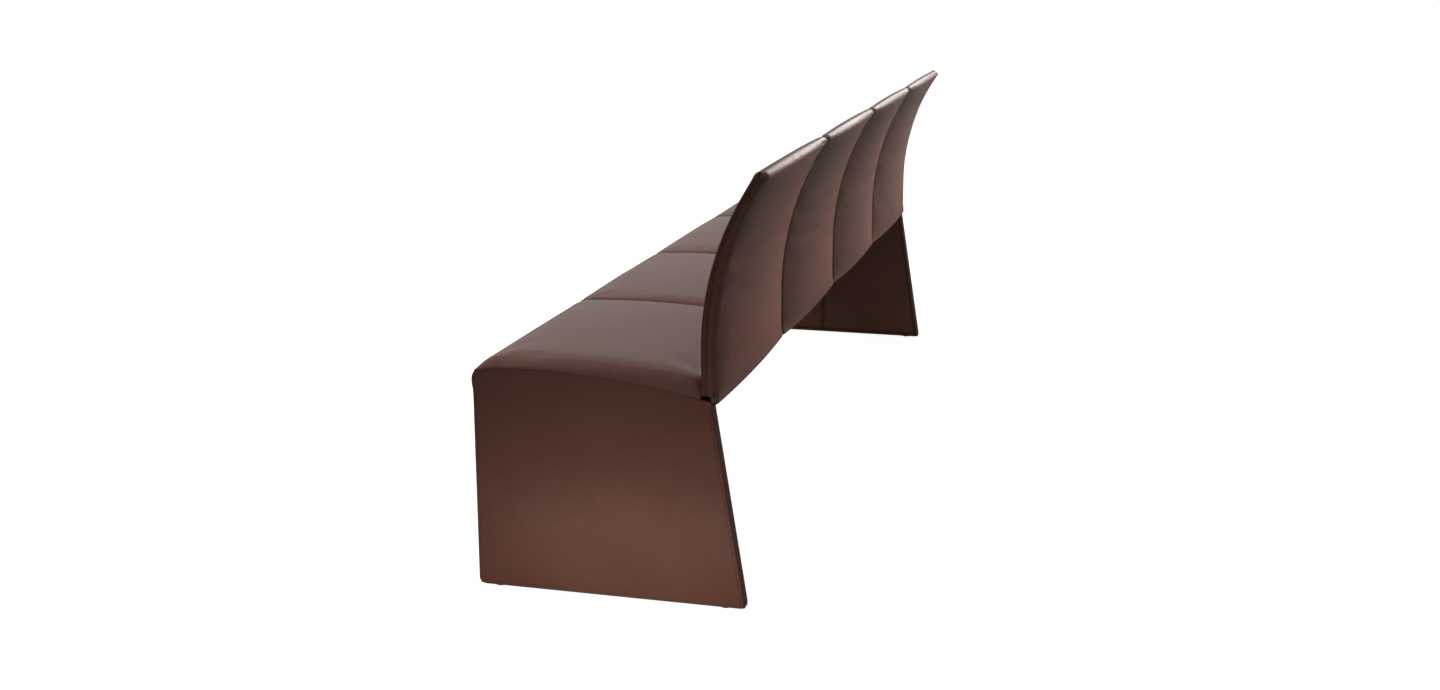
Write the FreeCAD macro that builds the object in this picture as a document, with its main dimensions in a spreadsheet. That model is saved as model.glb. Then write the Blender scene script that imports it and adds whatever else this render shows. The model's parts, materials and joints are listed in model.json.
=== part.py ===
import FreeCAD, Part
import math
import os
import sys

from FreeCAD import Placement, Rotation, Vector
import Sketcher

# A long leather bench: two end panels stand on levelling glides and carry a steel seat frame,
# and a curved backrest stands on brackets behind the seat.
# X runs along the bench, the front faces -Y and Z is up. The origin is on the floor under the middle.

document = FreeCAD.newDocument("Bench")

# Driving dimensions, in millimetres. A setback is measured from the bench's front edge.

sizes = {
    "bench_length": 2400,
    "section_count": 4,
    "leather": 1.3,
    "fit_gap": 0.3,
    "seam_gap": 0.6,
    # end panels
    "glide_stand": 2,
    "core_thickness": 25,
    "panel_wadding": 2.2,
    "panel_foot_depth": 557,
    "panel_head_depth": 489,
    "panel_corner": 10,
    "crest_height": 463,
    "crest_setback": 120,
    "crest_front_radius": 600,
    "crest_rear_radius": 1500,
    "shoulder_setback": 6,
    "inner_seam_setback": 240,
    # seat frame
    "frame_bottom": 389,
    "rail_height": 40,
    "rail_width": 30,
    "rail_wall": 2.5,
    "rear_rail_setback": 455,
    "end_plate": 5,
    "cross_tube_width": 40,
    "cross_tube_height": 30,
    "cross_tube_wall": 2,
    "plate_bolt_count": 4,
    "plate_bolt_setback": 80,
    "plate_bolt_pitch": 103,
    # seat
    "board_thickness": 12,
    "apron_foam": 10.7,
    "seat_crest_height": 482,
    "seat_crest_setback": 180,
    "seat_top_radius": 2000,
    "nose_radius": 45,
    "seat_depth": 464,
    "seat_rear_radius": 14,
    "board_screw_inset": 60,
    "dust_cover": 1,
    # backrest
    "back_setback": 466,
    "back_thickness": 34,
    "back_bend_height": 522,
    "back_front_radius": 590,
    "back_head_thickness": 31,
    "back_roll_height": 852,
    "back_roll_rise": 12,
    "back_front_bottom": 430,
    "back_rear_bottom": 408,
    "back_foam": 10,
    "shell_thickness": 10,
    "shell_bottom": 414,
    "shell_drop": 52,
    "back_seam_depth": 15.5,
    "back_gap": 5,
    "back_corner": 18,
    # back brackets
    "bracket_count": 5,
    "bracket_inset": 120,
    "bracket_width": 60,
    "bracket_steel": 6,
    "bracket_drop": 26,
    "bracket_height": 90,
    "bracket_bolt_pitch": 30,
    "bracket_screw_pitch": 50,
    # fasteners
    "bolt_radius": 4,
    "bolt_hole_radius": 4.2,
    "bolt_head_radius": 7,
    "bolt_head_height": 5,
    "bolt_reach": 14,
    "insert_radius": 6,
    "insert_length": 18,
    "screw_radius": 2.3,
    "screw_hole_radius": 2.5,
    "screw_head_radius": 4.6,
    "screw_head_height": 2.4,
    "screw_reach": 5,
    "shell_screw_reach": 7,
    # levelling glides
    "glide_setback": 42,
    "glide_radius": 11,
    "glide_height": 6,
    "glide_floor": 2,
    "recess_radius": 12.2,
    "stem_radius": 4,
    "stem_bore_radius": 4.06,
    "stem_length": 44,
    "socket_radius": 7,
    "socket_length": 25,
    "socket_lift": 5,
    "stem_well": 4,
}

sheet = document.addObject("Spreadsheet::Sheet", "Sizes")
for row, (alias, value) in enumerate(sizes.items(), start=1):
    sheet.set(f"A{row}", alias)
    sheet.set(f"B{row}", str(value))
    sheet.setAlias(f"B{row}", alias)
document.recompute()

# Places worked out from the driving dimensions, as formulas in a sheet of their own.

places = {
    "half_length": "Sizes.bench_length / 2",
    "section": "Sizes.bench_length / Sizes.section_count",
    "panel_thickness": "Sizes.core_thickness + 2 * (Sizes.panel_wadding + Sizes.leather)",
    "panel_inside": "half_length - panel_thickness",
    "core_outside": "half_length - Sizes.leather - Sizes.panel_wadding",
    "core_inside": "core_outside - Sizes.core_thickness",
    "rail_top": "Sizes.frame_bottom + Sizes.rail_height",
    "board_top": "rail_top + Sizes.board_thickness",
    "front_rail": "Sizes.leather + Sizes.apron_foam",
    "rear_rail": "Sizes.rear_rail_setback - Sizes.rail_width",
    "rail_half": "panel_inside - Sizes.end_plate",
    "seat_under": "Sizes.frame_bottom - Sizes.dust_cover",
    "shell_depth": "Sizes.leather + Sizes.back_foam + Sizes.fit_gap / 2",
    "front_bend": "Sizes.back_setback + Sizes.back_front_radius",
    "shell_top": "Sizes.back_roll_height - Sizes.shell_drop",
    "roll_lift": "Sizes.back_roll_height - Sizes.back_bend_height",
    "front_run": "Sizes.back_front_radius - sqrt(Sizes.back_front_radius ^ 2 - roll_lift ^ 2)",
    "rear_run": "front_run + Sizes.back_head_thickness - Sizes.back_thickness",
    "rear_radius": "(rear_run ^ 2 + roll_lift ^ 2) / (2 * rear_run)",
    "rear_bend": "Sizes.back_setback + Sizes.back_thickness + rear_radius",
    "roll_rear": "Sizes.back_setback + Sizes.back_thickness + rear_run",
    "middle": "roll_rear / 2",
    "bracket_face": "Sizes.back_setback + shell_depth - Sizes.bracket_steel",
    "bracket_bottom": "rail_top - Sizes.bracket_drop - Sizes.bracket_steel",
    "bracket_pitch": "2 * (half_length - Sizes.bracket_inset) / (Sizes.bracket_count - 1)",
}

place_sheet = document.addObject("Spreadsheet::Sheet", "Places")
for row, (alias, formula) in enumerate(places.items(), start=1):
    place_sheet.set(f"A{row}", alias)
    place_sheet.set(f"B{row}", f"={formula}")
    place_sheet.setAlias(f"B{row}", alias)
document.recompute()

reader = document.addObject("App::FeaturePython", "Reader")
reader.addProperty("App::PropertyFloat", "Result")


def read(formula):
    """The value of a formula of the two sheets."""
    reader.setExpression("Result", formula)
    reader.recompute()
    return reader.Result


def bind(item, **formulas):
    """Ties properties to formulas. Two underscores stand for the dot in a property's name."""
    for name, formula in formulas.items():
        item.setExpression(name.replace("__", "."), formula)
    return item


def put(item, across="0", setback="0", up="0"):
    """Places an item by its distance along the bench, from the bench's front edge and from the floor."""
    return bind(item, Placement__Base__x=across, Placement__Base__y=f"{setback} - Places.middle",
                Placement__Base__z=up)


# Sub-parts that are exported, by label

sub_parts = {}


def keep(label, item):
    item.Label = label
    sub_parts[label] = item
    return item


# Building blocks

TURNS = {
    "up": Rotation(),
    "down": Rotation(Vector(1, 0, 0), 180),
    "right": Rotation(Vector(0, 1, 0), 90),
    "left": Rotation(Vector(0, 1, 0), -90),
    "rearward": Rotation(Vector(1, 0, 0), -90),
}


def box(name, across, setback, up, length, depth, height):
    item = document.addObject("Part::Box", name)
    bind(item, Length=length, Width=depth, Height=height)
    return put(item, across, setback, up)


def rod(name, across, setback, up, radius, length, heading="up"):
    item = document.addObject("Part::Cylinder", name)
    item.Placement = Placement(Vector(), TURNS[heading])
    bind(item, Radius=radius, Height=length)
    return put(item, across, setback, up)


def group(name, items):
    item = document.addObject("Part::Compound", name)
    item.Links = items
    return item


def cut(name, base, tools):
    item = document.addObject("Part::Cut", name)
    item.Base = base
    item.Tool = tools[0] if len(tools) == 1 else group(f"{name}_tools", tools)
    return item


def join(name, first, second):
    item = document.addObject("Part::Fuse", name)
    item.Base = first
    item.Tool = second
    return item


def overlap(name, first, second):
    item = document.addObject("Part::Common", name)
    item.Base = first
    item.Tool = second
    return item


def draw_run(sketch, start, finish, bend):
    """Adds a straight run, or an arc whose centre is to the left or right of the way. Gives its two ends."""
    if bend is None:
        return sketch.addGeometry(Part.LineSegment(start, finish)), 1, 2
    radius, side = read(bend[0]), bend[1]
    way = finish - start
    sideways = Vector(-way.y, way.x, 0).normalize() * (1 if side == "left" else -1)
    reach = math.sqrt(max(radius ** 2 - (way.Length / 2) ** 2, 0))
    centre = start + way / 2 + sideways * reach
    first, last = (start, finish) if side == "left" else (finish, start)
    angles = [math.atan2((point - centre).y, (point - centre).x) for point in (first, last)]
    arc = Part.ArcOfCircle(Part.Circle(centre, Vector(0, 0, 1), radius), *angles)
    index = sketch.addGeometry(arc)
    return (index, 1, 2) if side == "left" else (index, 2, 1)


def outline(body, corners):
    """A closed sketch across the bench. A corner is (setback, height), and a third entry,
    (radius, side), bends the run from it to the next corner."""
    sketch = body.newObject("Sketcher::SketchObject", f"{body.Name}_outline")
    plane = next(plane for plane in body.Origin.OriginFeatures if plane.Role == "YZ_Plane")
    sketch.AttachmentSupport = (plane, [""])
    sketch.MapMode = "FlatFace"
    points = [Vector(read(corner[0]), read(corner[1]), 0) for corner in corners]
    runs = []
    for index, corner in enumerate(corners):
        bend = corner[2] if len(corner) == 3 else None
        runs.append(draw_run(sketch, points[index], points[(index + 1) % len(points)], bend))
    for index, (corner, point) in enumerate(zip(corners, points)):
        edge, start, finish = runs[index]
        for kind, formula, value in (("DistanceX", corner[0], point.x), ("DistanceY", corner[1], point.y)):
            pin = sketch.addConstraint(Sketcher.Constraint(kind, -1, 1, edge, start, value))
            sketch.setExpression(f"Constraints[{pin}]", formula)
        before, _, end = runs[index - 1]
        sketch.addConstraint(Sketcher.Constraint("Coincident", before, end, edge, start))
        if len(corner) == 3:
            pin = sketch.addConstraint(Sketcher.Constraint("Radius", edge, read(corner[2][0])))
            sketch.setExpression(f"Constraints[{pin}]", corner[2][0])
    return sketch


def slab(name, corners, across, length):
    """A body with the given outline that runs along the bench from across for its length."""
    body = document.addObject("PartDesign::Body", name)
    sketch = outline(body, corners)
    pad = body.newObject("PartDesign::Pad", f"{name}_pad")
    pad.Profile = sketch
    bind(pad, Length=length)
    put(body, across)
    return body


# End panels: a plywood core with wadding on both faces, in a leather cover

def crest(setback, inset):
    """Height of the panel's top edge behind its highest point, moved in by an inset."""
    return (f"Sizes.crest_height - Sizes.crest_rear_radius + sqrt((Sizes.crest_rear_radius - {inset}) ^ 2"
            f" - ({setback} - Sizes.crest_setback) ^ 2)")


def shoulder(setback, inset):
    """Height of the panel's top edge in front of its highest point, moved in by an inset."""
    return (f"Sizes.crest_height - Sizes.crest_front_radius + sqrt((Sizes.crest_front_radius - {inset}) ^ 2"
            f" - ({setback} - Sizes.crest_setback) ^ 2)")


def panel_outline(inset):
    """The end panel seen from the side, with its rounded foot corners and its curved top edge."""
    foot = f"(Sizes.panel_foot_depth - {inset})"
    head = f"(Sizes.panel_head_depth - {inset})"
    low = f"(Sizes.glide_stand + {inset})"
    corner = "Sizes.panel_corner"
    lean = "(Sizes.panel_foot_depth - Sizes.panel_head_depth) / Sizes.crest_height"
    front = f"(Sizes.shoulder_setback + {inset})"
    shoulder_height = shoulder(front, inset)
    return [
        (f"{inset} + {corner}", low),
        (f"{foot} - {corner}", low, (corner, "left")),
        (f"{foot} - {corner} * {lean}", f"{low} + {corner}"),
        (head, crest(head, inset), (f"Sizes.crest_rear_radius - {inset}", "left")),
        ("Sizes.crest_setback", f"Sizes.crest_height - {inset}",
         (f"Sizes.crest_front_radius - {inset}", "left")),
        (front, shoulder_height, ("Sizes.nose_radius", "left")),
        (inset, f"{shoulder_height} - Sizes.nose_radius / 2"),
        (inset, f"{low} + {corner}", (corner, "left")),
    ]


def layer(side, depth, thickness):
    """Where a layer of a panel starts along the bench, for its depth below the panel's outer face."""
    if side == "right":
        return f"Places.half_length - {depth} - {thickness}"
    return f"-Places.half_length + {depth}"


bolt_setbacks = [f"Sizes.plate_bolt_setback + {step} * Sizes.plate_bolt_pitch"
                 for step in range(sizes["plate_bolt_count"])]
bolt_height = "Sizes.frame_bottom + Sizes.rail_height / 2"
glide_setbacks = ["Sizes.glide_setback", "Sizes.panel_foot_depth - Sizes.glide_setback"]
glide_inset = "Places.panel_thickness / 2"
bolts, inserts, sockets, screws = [], [], [], []

for side, sign, inward, outward in (("right", "", "left", "right"), ("left", "-", "right", "left")):
    core_depth = "(Sizes.leather + Sizes.panel_wadding)"
    inner_depth = "(Sizes.leather + Sizes.panel_wadding + Sizes.core_thickness)"
    lining_depth = "(Sizes.leather + 2 * Sizes.panel_wadding + Sizes.core_thickness)"
    panel_inset = "(Sizes.leather + Sizes.fit_gap / 2)"

    # holes for the plate's bolts and the glides, which the pieces on this side share
    bolt_holes = [rod(f"bolt_hole_{side}_{number}", f"{sign}Places.rail_half", setback, bolt_height,
                      "Sizes.bolt_hole_radius", "Places.core_outside - Places.rail_half", outward)
                  for number, setback in enumerate(bolt_setbacks, start=1)]
    insert_seats = [rod(f"insert_seat_{side}_{number}", f"{sign}Places.core_inside", setback, bolt_height,
                        "Sizes.insert_radius + Sizes.fit_gap / 10", "Sizes.insert_length", outward)
                    for number, setback in enumerate(bolt_setbacks, start=1)]
    across = f"{sign}(Places.half_length - {glide_inset})"
    glide_recesses, socket_seats = [], []
    for number, setback in enumerate(glide_setbacks, start=1):
        glide_recesses.append(rod(f"glide_recess_{side}_{number}", across, setback, "0",
                                  "Sizes.recess_radius", "Sizes.glide_height + Sizes.fit_gap"))
        socket_seats.append(rod(f"socket_seat_{side}_{number}", across, setback, "0",
                                "Sizes.socket_radius + Sizes.fit_gap / 10",
                                "Sizes.glide_height + Sizes.socket_lift + Sizes.socket_length"))
        socket_seats.append(rod(f"stem_well_{side}_{number}", across, setback, "0",
                                "Sizes.stem_radius + Sizes.fit_gap",
                                "Sizes.glide_floor + Sizes.stem_length + Sizes.stem_well"))
        blank = rod(f"socket_blank_{side}_{number}", across, setback,
                    "Sizes.glide_height + Sizes.socket_lift", "Sizes.socket_radius", "Sizes.socket_length")
        bore = rod(f"socket_bore_{side}_{number}", across, setback, "0", "Sizes.stem_bore_radius",
                   "2 * (Sizes.socket_lift + Sizes.socket_length)")
        sockets.append(cut(f"socket_{side}_{number}", blank, [bore]))

    core = slab(f"core_blank_{side}", panel_outline(panel_inset),
                layer(side, core_depth, "Sizes.core_thickness"), "Sizes.core_thickness")
    keep(f"end_core_{side}",
         cut(f"core_{side}", core, insert_seats + bolt_holes + glide_recesses + socket_seats))

    outer_wadding = slab(f"outer_wadding_{side}", panel_outline(panel_inset),
                         layer(side, "Sizes.leather", "Sizes.panel_wadding"), "Sizes.panel_wadding")
    keep(f"end_pad_outer_{side}", outer_wadding)
    inner_wadding = slab(f"inner_wadding_{side}", panel_outline(panel_inset),
                         layer(side, inner_depth, "Sizes.panel_wadding"), "Sizes.panel_wadding")
    keep(f"end_pad_inner_{side}", cut(f"inner_pad_{side}", inner_wadding, bolt_holes))

    # the outer cover is a tray of leather that turns round the panel's edges
    tray = slab(f"cover_blank_{side}", panel_outline("0"),
                layer(side, "0", "Places.panel_thickness"), "Places.panel_thickness")
    hollow = slab(f"cover_hollow_{side}", panel_outline("Sizes.leather"),
                  layer(side, "Sizes.leather", "Places.panel_thickness"), "Places.panel_thickness")
    keep(f"end_cover_outer_{side}", cut(f"outer_cover_{side}", tray, [hollow] + glide_recesses))

    # the inner cover closes the tray, in a front and a rear piece that meet at an upright seam
    lining = slab(f"lining_blank_{side}", panel_outline(panel_inset),
                  layer(side, lining_depth, "Sizes.leather"), "Sizes.leather")
    pierced = cut(f"lining_{side}", lining, bolt_holes)
    halves = {
        "front": ("0", "Sizes.inner_seam_setback - Sizes.seam_gap / 2"),
        "rear": ("Sizes.inner_seam_setback + Sizes.seam_gap / 2", "Sizes.panel_foot_depth"),
    }
    for half, (start, depth) in halves.items():
        window = box(f"lining_window_{half}_{side}", layer(side, lining_depth, "Sizes.leather"), start, "0",
                     "Sizes.leather", depth, "Sizes.crest_height")
        keep(f"end_cover_inner_{half}_{side}", overlap(f"lining_{half}_{side}", pierced, window))

    # inserts in the core, and the bolts that hold the end plate
    for number, setback in enumerate(bolt_setbacks, start=1):
        blank = rod(f"insert_blank_{side}_{number}", f"{sign}Places.core_inside", setback, bolt_height,
                    "Sizes.insert_radius", "Sizes.insert_length", outward)
        bore = rod(f"insert_bore_{side}_{number}", f"{sign}Places.core_inside", setback, bolt_height,
                   "Sizes.bolt_hole_radius", "Sizes.insert_length", outward)
        inserts.append(cut(f"insert_{side}_{number}", blank, [bore]))
        head = rod(f"plate_bolt_head_{side}_{number}", f"{sign}Places.rail_half", setback, bolt_height,
                   "Sizes.bolt_head_radius", "Sizes.bolt_head_height", inward)
        shank = rod(f"plate_bolt_shank_{side}_{number}", f"{sign}Places.rail_half", setback, bolt_height,
                    "Sizes.bolt_radius", "Places.core_inside - Places.rail_half + Sizes.bolt_reach", outward)
        bolts.append(join(f"plate_bolt_{side}_{number}", head, shank))

    plate_start = "Places.rail_half" if side == "right" else "-Places.panel_inside"
    plate = box(f"plate_blank_{side}", plate_start, "Places.front_rail", "Sizes.frame_bottom",
                "Sizes.end_plate", "Sizes.rear_rail_setback - Places.front_rail", "Sizes.rail_height")
    keep(f"end_plate_{side}", cut(f"plate_{side}", plate, bolt_holes))

keep("end_inserts", group("inserts", inserts))
keep("glide_sockets", group("sockets", sockets))

# Levelling glides: a pad on the floor and a threaded stem that turns in the panel's socket

glide_places = [(sign, setback) for sign in ("", "-") for setback in glide_setbacks]
for number, (sign, setback) in enumerate(glide_places, start=1):
    across = f"{sign}(Places.half_length - {glide_inset})"
    disc = rod(f"glide_disc_{number}", across, setback, "0", "Sizes.glide_radius", "Sizes.glide_height")
    cup = rod(f"glide_cup_{number}", across, setback, "Sizes.glide_floor", "Sizes.stem_bore_radius",
              "Sizes.glide_height")
    keep(f"glide_pad_{number}", cut(f"glide_{number}", disc, [cup]))
    stem = rod(f"stem_{number}", across, setback, "Sizes.glide_floor + Sizes.fit_gap", "Sizes.stem_radius",
               "Sizes.stem_length")
    keep(f"glide_stem_{number}", stem)

# Seat frame: two rails and three cross tubes of rectangular steel tube, welded to the end plates

board_edges = [f"-Places.half_length + {index} * Places.section"
               for index in range(sizes["section_count"] + 1)]
inner_edges = board_edges[1:-1]
bracket_steps = [index - (sizes["bracket_count"] - 1) / 2 for index in range(sizes["bracket_count"])]
bracket_places = [f"{step} * Places.bracket_pitch" for step in bracket_steps]

screw_rows = ("Places.front_rail + Sizes.rail_width / 2", "Sizes.rear_rail_setback - Sizes.rail_width / 2")
board_screws = [[(f"{edge} {way} Sizes.board_screw_inset", setback)
                 for edge, way in ((start, "+"), (finish, "-")) for setback in screw_rows]
                for start, finish in zip(board_edges, board_edges[1:])]
screw_holes = []
for number, (across, setback) in enumerate(sum(board_screws, []), start=1):
    screw_holes.append(rod(f"screw_hole_{number}", across, setback,
                           "Places.rail_top - Sizes.rail_height / 2", "Sizes.screw_hole_radius",
                           "Sizes.rail_height / 2 + Sizes.board_thickness"))
    head = rod(f"board_screw_head_{number}", across, setback, "Places.board_top", "Sizes.screw_head_radius",
               "Sizes.screw_head_height")
    shank = rod(f"board_screw_shank_{number}", across, setback, "Places.board_top", "Sizes.screw_radius",
                "Sizes.board_thickness + Sizes.rail_wall + Sizes.screw_reach", "down")
    screws.append(join(f"board_screw_{number}", head, shank))

bracket_bolt_places = [f"{place} + {half} * Sizes.bracket_bolt_pitch" for place in bracket_places
                       for half in (-0.5, 0.5)]
bracket_bolt_height = "Places.bracket_bottom + Sizes.bracket_drop / 2"
bracket_bolt_holes = []
for number, across in enumerate(bracket_bolt_places, start=1):
    bracket_bolt_holes.append(rod(f"bracket_bolt_hole_{number}", across,
                                  "Sizes.rear_rail_setback - 2 * Sizes.rail_wall", bracket_bolt_height,
                                  "Sizes.bolt_hole_radius", "2 * Sizes.rail_wall + Sizes.bracket_steel",
                                  "rearward"))
    head = rod(f"bracket_bolt_head_{number}", across, "Sizes.rear_rail_setback + Sizes.bracket_steel",
               bracket_bolt_height, "Sizes.bolt_head_radius", "Sizes.bolt_head_height", "rearward")
    shank = rod(f"bracket_bolt_shank_{number}", across, "Sizes.rear_rail_setback - Sizes.bolt_reach",
                bracket_bolt_height, "Sizes.bolt_radius", "Sizes.bolt_reach + Sizes.bracket_steel",
                "rearward")
    bolts.append(join(f"bracket_bolt_{number}", head, shank))

rails = {"front_rail": "Places.front_rail", "rear_rail": "Places.rear_rail"}
for name, setback in rails.items():
    bar = box(f"{name}_bar", "-Places.rail_half", setback, "Sizes.frame_bottom", "2 * Places.rail_half",
              "Sizes.rail_width", "Sizes.rail_height")
    hollow = box(f"{name}_hollow", "-Places.rail_half", f"{setback} + Sizes.rail_wall",
                 "Sizes.frame_bottom + Sizes.rail_wall", "2 * Places.rail_half",
                 "Sizes.rail_width - 2 * Sizes.rail_wall", "Sizes.rail_height - 2 * Sizes.rail_wall")
    holes = screw_holes + (bracket_bolt_holes if name == "rear_rail" else [])
    keep(name, cut(f"{name}_tube", bar, [hollow] + holes))

cross_start = "Places.front_rail + Sizes.rail_width"
cross_length = "Places.rear_rail - Places.front_rail - Sizes.rail_width"
for number, edge in enumerate(inner_edges, start=1):
    bar = box(f"cross_bar_{number}", f"{edge} - Sizes.cross_tube_width / 2", cross_start,
              "Places.rail_top - Sizes.cross_tube_height", "Sizes.cross_tube_width", cross_length,
              "Sizes.cross_tube_height")
    hollow = box(f"cross_hollow_{number}", f"{edge} - Sizes.cross_tube_width / 2 + Sizes.cross_tube_wall",
                 cross_start, "Places.rail_top - Sizes.cross_tube_height + Sizes.cross_tube_wall",
                 "Sizes.cross_tube_width - 2 * Sizes.cross_tube_wall", cross_length,
                 "Sizes.cross_tube_height - 2 * Sizes.cross_tube_wall")
    keep(f"cross_tube_{number}", cut(f"cross_{number}", bar, [hollow]))

keep("under_seat_cover",
     box("dust_cover", "-Places.rail_half", "Places.front_rail", "Places.seat_under", "2 * Places.rail_half",
         "Sizes.rear_rail_setback - Places.front_rail", "Sizes.dust_cover"))

# Seat: boards on the frame, with a foam pad and a leather cover for each section

def seat_top(setback, inset="0"):
    """Height of the seat's top, moved in by an inset."""
    return (f"Sizes.seat_crest_height - Sizes.seat_top_radius + sqrt((Sizes.seat_top_radius - {inset}) ^ 2"
            f" - ({setback} - Sizes.seat_crest_setback) ^ 2)")


def seat_outline(inset, under_nose, apron_back, under_top):
    """The seat seen from the side, moved in by an inset. Its underside runs back from the front edge
    at under_nose as far as apron_back, and from there on at under_top."""
    nose = "Sizes.nose_radius"
    rear = f"(Sizes.seat_depth - {inset})"
    nose_top = seat_top(nose, inset)
    rear_start = "(Sizes.seat_depth - Sizes.seat_rear_radius)"
    rear_top = seat_top(rear_start, inset)
    return [
        (rear, under_top),
        (rear, f"{rear_top} - Sizes.seat_rear_radius + {inset}",
         (f"Sizes.seat_rear_radius - {inset}", "left")),
        (rear_start, rear_top, (f"Sizes.seat_top_radius - {inset}", "left")),
        (nose, nose_top, (f"{nose} - {inset}", "left")),
        (inset, f"{nose_top} - {nose} + {inset}"),
        (inset, under_nose),
        (apron_back, under_nose),
        (apron_back, under_top),
    ]


cover_fit = "(Sizes.leather + Sizes.fit_gap / 2)"


def panel_spaces(name, gap):
    """The space that the two end panels take, with a gap all round them."""
    thickness = f"(Places.panel_thickness + 2 * {gap})"
    return [slab(f"{name}_{side}", panel_outline(f"(-{gap})"), layer(side, f"(-{gap})", thickness), thickness)
            for side in ("right", "left")]


panel_clearance = panel_spaces("panel_clearance", "Sizes.fit_gap")
board_reach = "(Places.panel_inside - Sizes.fit_gap)"
last = sizes["section_count"] - 1

for index in range(sizes["section_count"]):
    number = index + 1
    start, finish = board_edges[index], board_edges[index + 1]
    half_seam = "Sizes.seam_gap / 2"
    board_start = f"-{board_reach}" if index == 0 else f"{start} + {half_seam}"
    board_finish = board_reach if index == last else f"{finish} - {half_seam}"
    board = box(f"board_blank_{number}", board_start, "Places.front_rail", "Places.rail_top",
                f"{board_finish} - ({board_start})", "Sizes.rear_rail_setback - Places.front_rail",
                "Sizes.board_thickness")
    keep(f"seat_board_{number}", cut(f"board_{number}", board, screw_holes))

    # the foam stops short of the cover's end wall at the bench's ends
    pad_start = f"{start} + {cover_fit}" if index == 0 else f"{start} + {half_seam}"
    pad_finish = f"{finish} - {cover_fit}" if index == last else f"{finish} - {half_seam}"
    foam = slab(f"foam_blank_{number}",
                seat_outline(cover_fit, "Sizes.frame_bottom", "Places.front_rail", "Places.board_top"),
                pad_start, f"{pad_finish} - ({pad_start})")
    dents = [rod(f"screw_dent_{number}_{place}", across, setback, "Places.board_top",
                 "Sizes.screw_head_radius + Sizes.fit_gap", "Sizes.screw_head_height + Sizes.fit_gap")
             for place, (across, setback) in enumerate(board_screws[index], start=1)]
    keep(f"seat_pad_{number}", cut(f"foam_{number}", foam, panel_clearance + dents))

    # the leather is the seat's outside less what is under it
    cover_start = start if index == 0 else f"{start} + {half_seam}"
    cover_finish = finish if index == last else f"{finish} - {half_seam}"
    skin = slab(f"cover_blank_{number}",
                seat_outline("0", "Places.seat_under", "Places.front_rail", "Places.rail_top"),
                cover_start, f"{cover_finish} - ({cover_start})")
    hollow_start = f"{start} + Sizes.leather" if index == 0 else start
    hollow_finish = f"{finish} - Sizes.leather" if index == last else finish
    hollow = slab(f"cover_hollow_{number}",
                  seat_outline("Sizes.leather", "Places.seat_under - Sizes.leather",
                               "Places.front_rail + Sizes.leather", "Sizes.frame_bottom"),
                  hollow_start, f"{hollow_finish} - ({hollow_start})")
    keep(f"seat_cover_{number}", cut(f"cover_{number}", skin, [hollow] + panel_clearance))

# Backrest: a moulded shell between two foam pads, in front and rear covers

def front_arc(depth, height):
    """Setback of a surface at a depth behind the backrest's front, at a height above the bend."""
    radius = f"(Sizes.back_front_radius - {depth})"
    return f"Places.front_bend - sqrt({radius} ^ 2 - ({height} - Sizes.back_bend_height) ^ 2)"


def rear_arc(depth, height):
    """Setback of a surface at a depth in front of the backrest's rear, at a height above the bend."""
    radius = f"(Places.rear_radius + {depth})"
    return f"Places.rear_bend - sqrt({radius} ^ 2 - ({height} - Sizes.back_bend_height) ^ 2)"


def back_outline(inset, front_bottom, rear_bottom):
    """The whole backrest seen from the side, moved in by an inset, up to the rolled top edge."""
    bend = "Sizes.back_bend_height"
    roll = "Sizes.back_roll_height"
    front, rear = front_arc(inset, roll), rear_arc(inset, roll)
    rise = f"(Sizes.back_roll_rise - {inset} / 2)"
    chord = f"({rear} - ({front}))"
    roll_radius = f"({chord} ^ 2 / 4 + {rise} ^ 2) / (2 * {rise})"
    front_face = f"Sizes.back_setback + {inset}"
    rear_face = f"Sizes.back_setback + Sizes.back_thickness - {inset}"
    return [
        (rear_face, rear_bottom),
        (rear_face, bend, (f"Places.rear_radius + {inset}", "right")),
        (rear, roll, (roll_radius, "left")),
        (front, roll, (f"Sizes.back_front_radius - {inset}", "left")),
        (front_face, bend),
        (front_face, front_bottom),
        ("Sizes.back_setback + Sizes.back_seam_depth", front_bottom),
        ("Sizes.back_setback + Sizes.back_seam_depth", rear_bottom),
    ]


def sheet_outline(near, far, bottom, top):
    """A curved layer of the backrest, between two depths behind its front face."""
    bend = "Sizes.back_bend_height"
    return [
        (f"Sizes.back_setback + {far}", bottom),
        (f"Sizes.back_setback + {far}", bend, (f"Sizes.back_front_radius - {far}", "right")),
        (front_arc(far, top), top),
        (front_arc(near, top), top, (f"Sizes.back_front_radius - {near}", "left")),
        (f"Sizes.back_setback + {near}", bend),
        (f"Sizes.back_setback + {near}", bottom),
    ]


shell_start = f"-Places.half_length + {cover_fit}"
shell_length = f"2 * (Places.half_length - {cover_fit})"
shell_far = "(Places.shell_depth + Sizes.shell_thickness)"
blank = slab("shell_blank",
             sheet_outline("Places.shell_depth", shell_far, "Sizes.shell_bottom", "Places.shell_top"),
             f"-{board_reach}", f"2 * {board_reach}")

# the backrest's lower corners end above the panels, in a notch
panel_room = panel_spaces("panel_room", "Sizes.back_gap")
panel_room += [box(f"back_corner_{side}", layer(side, "0", "Sizes.back_corner"), "Sizes.back_setback",
                   "Sizes.back_rear_bottom", "Sizes.back_corner", "2 * Sizes.back_thickness",
                   "Sizes.back_corner") for side in ("right", "left")]

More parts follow.
